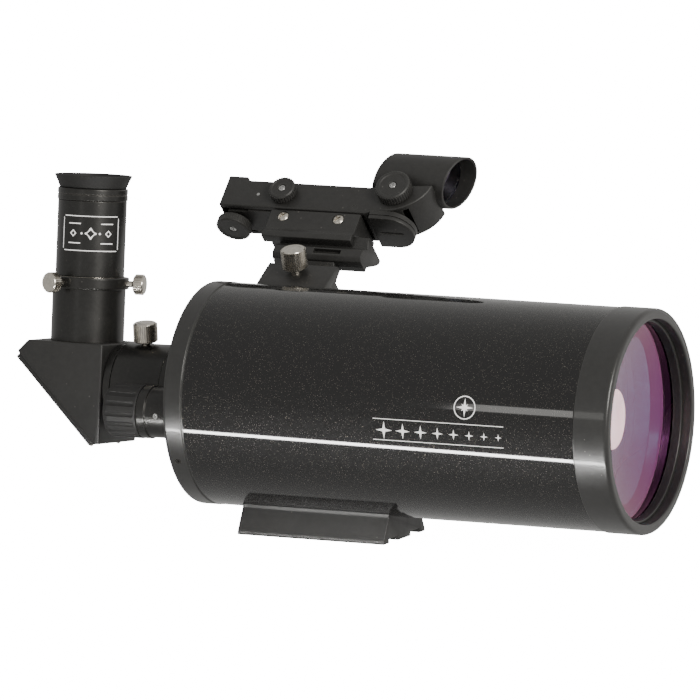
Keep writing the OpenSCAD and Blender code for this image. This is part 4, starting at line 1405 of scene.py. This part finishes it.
class TELESCOPE_OT_finder_head(PieceOperator, bpy.types.Operator):
    """Finder head: housing, slanted lens tube with its lens, and battery cover"""

    bl_idname = "telescope.finder_head"
    bl_label = "Finder head"

    def execute(self, context):
        housing = bevelled(placed(extruded(housing_side(), -FINDER_HALF, FINDER_HALF), SIDEWAYS), 0.9, 4, 25)
        tools = [
            block((-24.4, -8.8, 90), (49, 8.8, 111.5)),
            block((48, -8.8, 103), (70, 8.8, 111)),
            placed(lathe([(0, 30), (LENS_TUBE_R, 30), (LENS_TUBE_R, 100), (0, 100)], 128),
                   at(0, 0, LENS_TUBE_U), LAY),
            placed(lathe([(0, -19), (1.6, -19), (1.6, -10), (0, -10)], 32), at(0, 0, 113.9), LAY),
            placed(lathe([(0, 0), (0.85, 0), (0.85, 20), (0, 20)], 24), at(-7, 0, 105.7), SIDEWAYS),
            placed(lathe([(0, 0), (1.6, 0), (1.6, 20), (0, 20)], 24), at(6.1, 0, 107.1), SIDEWAYS),
            placed(lathe([(0, 0), (2.1, 0), (2.1, 20), (0, 20)], 24), at(61.8, 0, 111.8), SIDEWAYS),
            placed(lathe([(0, -20), (1.55, -20), (1.55, 20), (0, 20)], 24), at(44, 0, 101.5), SIDEWAYS),
        ]
        add_piece("finder_housing_shell", cut(housing, *tools), HEAD, moulded(), "finder_head", "moulded_black",
                  "finder_housing")
        inner = LENS_TUBE_R - 1.1
        shell = placed(lathe(rounded([(inner, 50, 0.3), (LENS_TUBE_R, 50, 0.35), (LENS_TUBE_R, 86, 0.35),
                                      (inner, 86, 0.3)], 0.3, 4), 160), LAY)
        eye = HEAD @ at(0, 0, LENS_TUBE_U)
        add_piece("lens_tube_shell", leaned(shell, LENS_LEAN), eye, moulded(), "finder_head", "moulded_black",
                  "lens_tube")
        disc = placed(lathe([*face_arc(90, 76.1, 0, inner - 0.05, 10),
                             *reversed(face_arc(90, 77.5, 0, inner - 0.05, 10))], 128), LAY)
        add_piece("finder_lens_disc", leaned(disc, LENS_LEAN), eye, finder_glass(), "finder_head",
                  "amber_glass", "finder_lens", smooth=30)
        nose = [(52.5, -FINDER_HALF), *circle(FINDER_HALF, 33, (61.5, 0), -math.pi / 2, math.pi, close=False),
                (52.5, FINDER_HALF)]
        cover = bevelled(extruded(nose, 95.8, 98), 0.4, 3, 25)
        recess = placed(lathe([(0, 96.9), (10.3, 96.9), (10.3, 100), (0, 100)], 96), at(61.5))
        coin_slot = bevelled(block((55.5, -0.8, 95), (67.5, 0.8, 96.4)), 0.5, 3)
        add_piece("battery_cover_plate", cut(cover, recess, coin_slot), HEAD, moulded(), "battery_door",
                  "moulded_black", "battery_cover")
        paint_node(emitter(), "dot_emitter")
        return {"FINISHED"}


class TELESCOPE_OT_finder_knobs(PieceOperator, bpy.types.Operator):
    """Brightness, azimuth and altitude knobs of the finder"""

    bl_idname = "telescope.finder_knobs"
    bl_label = "Finder knobs"

    def execute(self, context):
        knobs = (
            ("brightness_dial_knob", 8.5, 11.5, 16.9, 2.0, 8.9, 40, at(61.8, 0, 111.8) @ SIDEWAYS,
             "brightness_dial", "brightness_knob"),
            ("azimuth_dial_knob", 6.5, 11.5, 15.9, 1.5, 7.6, 30, at(6.1, 0, 107.1) @ SIDEWAYS,
             "azimuth_adjuster", "azimuth_knob"),
            ("altitude_dial_knob", 8.4, -96.9, -92.3, 1.5, -104.6, 44, at(-19.5) @ turned(180, "X"),
             "altitude_adjuster", "altitude_knob"),
        )
        for name, radius, low, high, shank, tip, flutes, place, body, node in knobs:
            root = low + 0.5
            rod = lathe(rounded([(0, tip, 0), (shank, tip, 0.3), (shank, root, 0), (0, root, 0)], 0.2), 40)
            disc = disc_knob(radius, low, high, flutes, moulded())
            add_piece(name, joined(rod, disc), HEAD @ place, moulded(), body, "moulded_black", node)
            screw = placed(cross_screw(1.7, 0.75), at(0, 0, high - 0.9))
            add_piece(name.replace("knob", "screw"), screw, HEAD @ place, steel(), body, "moulded_black")
        return {"FINISHED"}


def add_area(name, place, target, size, power, colour, only_gloss=False):
    """Area light at a place, aimed at a target; it may show in reflections alone."""
    data = bpy.data.lights.new(name, "AREA")
    data.shape = "RECTANGLE"
    data.size, data.size_y = size
    data.energy = power
    data.color = colour
    lamp = bpy.data.objects.new(name, data)
    bpy.context.scene.collection.objects.link(lamp)
    lamp.location = place
    lamp.rotation_euler = (Vector(target) - Vector(place)).to_track_quat("-Z", "Y").to_euler()
    lamp.visible_camera = False
    lamp.visible_diffuse = not only_gloss
    lamp.visible_transmission = not only_gloss
    return lamp


def direction(azimuth, elevation):
    """Unit vector at an azimuth from -Y towards +X and an elevation, in radians."""
    flat = math.cos(elevation)
    return Vector((math.sin(azimuth) * flat, -math.cos(azimuth) * flat, math.sin(elevation)))


class TELESCOPE_OT_studio(PieceOperator, bpy.types.Operator):
    """Pale floor, soft lights and the camera"""

    bl_idname = "telescope.studio"
    bl_label = "Studio"

    def execute(self, context):
        settings = context.scene.telescope_studio
        scene = context.scene
        bm = bmesh.new()
        bmesh.ops.create_grid(bm, x_segments=8, y_segments=8, size=3.0)
        floor = bpy.data.objects.new("floor", to_mesh(bm, "floor"))
        floor.data.materials.append(floor_surface())
        scene.collection.objects.link(floor)
        floor.visible_glossy = False

        world = bpy.data.worlds.new("Studio sky")
        scene.world = world
        world.use_nodes = True
        tree = world.node_tree
        sky = tree.nodes["Background"]
        sky.inputs["Color"].default_value = (1.0, 0.99, 0.965, 1)
        seen = tree.nodes.new("ShaderNodeLightPath").outputs["Is Camera Ray"]
        strength = maths(tree, "MULTIPLY", seen, settings.backdrop - settings.sky)
        tree.links.new(maths(tree, "ADD", strength, settings.sky), sky.inputs["Strength"])

        centre = Vector(AXIS) + Vector((0.09, 0, 0))
        key_place = centre + direction(math.radians(54.6), math.radians(25)) * 1.5
        add_area("key", key_place, centre, (0.62, 0.62), settings.key, (1.0, 0.97, 0.92))
        left, right = Vector((-0.12, -0.1167, 0.0091)), Vector((0.15, -0.1026, 0.0082))
        along = (right - left).normalized()
        middle_place = (left + right) / 2
        on_axis = Vector((middle_place.x, AXIS.y, AXIS.z))
        strip_size = ((right - left).length, 0.005)
        strip = add_area("strip", middle_place, on_axis, strip_size, settings.strip, (1.0, 0.99, 0.97), True)
        out = middle_place - on_axis
        out = (out - along * out.dot(along)).normalized()
        strip.rotation_euler = Matrix((along, out.cross(along), out)).transposed().to_euler()
        add_area("window", (-0.33, -1.124, 0.29), (AXIS.x + 0.18, -0.05, 0.071), (0.12, 0.13), settings.window,
                 (1.0, 0.98, 0.94), True)
        face = Vector((AXIS.x + FRONT_FACE * MM, AXIS.y, AXIS.z))
        panel_place = face + Vector((0.36, 0.48, 0))
        add_area("panel", panel_place, face, (1.2, 1.0), settings.panel, (1.0, 0.97, 0.93), True)

        towards = direction(settings.azimuth, settings.elevation)
        right = Vector((0, 0, 1)).cross(towards).normalized()
        up = towards.cross(right)
        aim = Vector((AXIS.x + 0.110, AXIS.y, AXIS.z)) - right * 0.03497 + up * 0.02605
        data = bpy.data.cameras.new("Camera")
        data.lens = data.sensor_width * settings.distance / settings.frame_width
        data.clip_end = 50
        camera = bpy.data.objects.new("Camera", data)
        scene.collection.objects.link(camera)
        camera.location = aim + towards * settings.distance
        camera.rotation_euler = (-towards).to_track_quat("-Z", "Y").to_euler()
        scene.camera = camera
        return {"FINISHED"}


class TELESCOPE_PT_panel(bpy.types.Panel):
    """Buttons that build the telescope's looks"""

    bl_idname = "TELESCOPE_PT_panel"
    bl_label = "Telescope"
    bl_space_type = "VIEW_3D"
    bl_region_type = "UI"
    bl_category = "Telescope"

    def draw(self, context):
        layout = self.layout
        scene = context.scene
        for settings, operators in (
            (scene.telescope_tube, ("tube", "cells", "corrector")),
            (scene.telescope_fittings, ("focus", "visual_back", "diagonal", "eyepiece", "dovetail", "finder_base",
                                        "finder_head", "finder_knobs")),
            (scene.telescope_studio, ("studio",)),
        ):
            box = layout.box()
            for name in settings.bl_rna.properties.keys():
                if name not in ("rna_type", "name"):
                    box.prop(settings, name)
            for name in operators:
                box.operator("telescope." + name)


SETTINGS = {
    "telescope_tube": TubeSettings,
    "telescope_fittings": FittingSettings,
    "telescope_studio": StudioSettings,
}

OPERATORS = (
    TELESCOPE_OT_tube,
    TELESCOPE_OT_cells,
    TELESCOPE_OT_corrector,
    TELESCOPE_OT_focus,
    TELESCOPE_OT_visual_back,
    TELESCOPE_OT_diagonal,
    TELESCOPE_OT_eyepiece,
    TELESCOPE_OT_dovetail,
    TELESCOPE_OT_finder_base,
    TELESCOPE_OT_finder_head,
    TELESCOPE_OT_finder_knobs,
    TELESCOPE_OT_studio,
)


def register():
    """Adds the settings, operators and panel."""
    for cls in (*SETTINGS.values(), *OPERATORS, TELESCOPE_PT_panel):
        bpy.utils.register_class(cls)
    for name, cls in SETTINGS.items():
        setattr(bpy.types.Scene, name, PointerProperty(type=cls))


def unregister():
    """Takes the settings, operators and panel away again."""
    for name in SETTINGS:
        delattr(bpy.types.Scene, name)
    for cls in reversed((*SETTINGS.values(), *OPERATORS, TELESCOPE_PT_panel)):
        bpy.utils.unregister_class(cls)


def main():
    """Builds every piece in turn."""
    register()
    for cls in OPERATORS:
        group_name, action = cls.bl_idname.split(".")
        getattr(getattr(bpy.ops, group_name), action)()


if __name__ == "__main__":
    main()
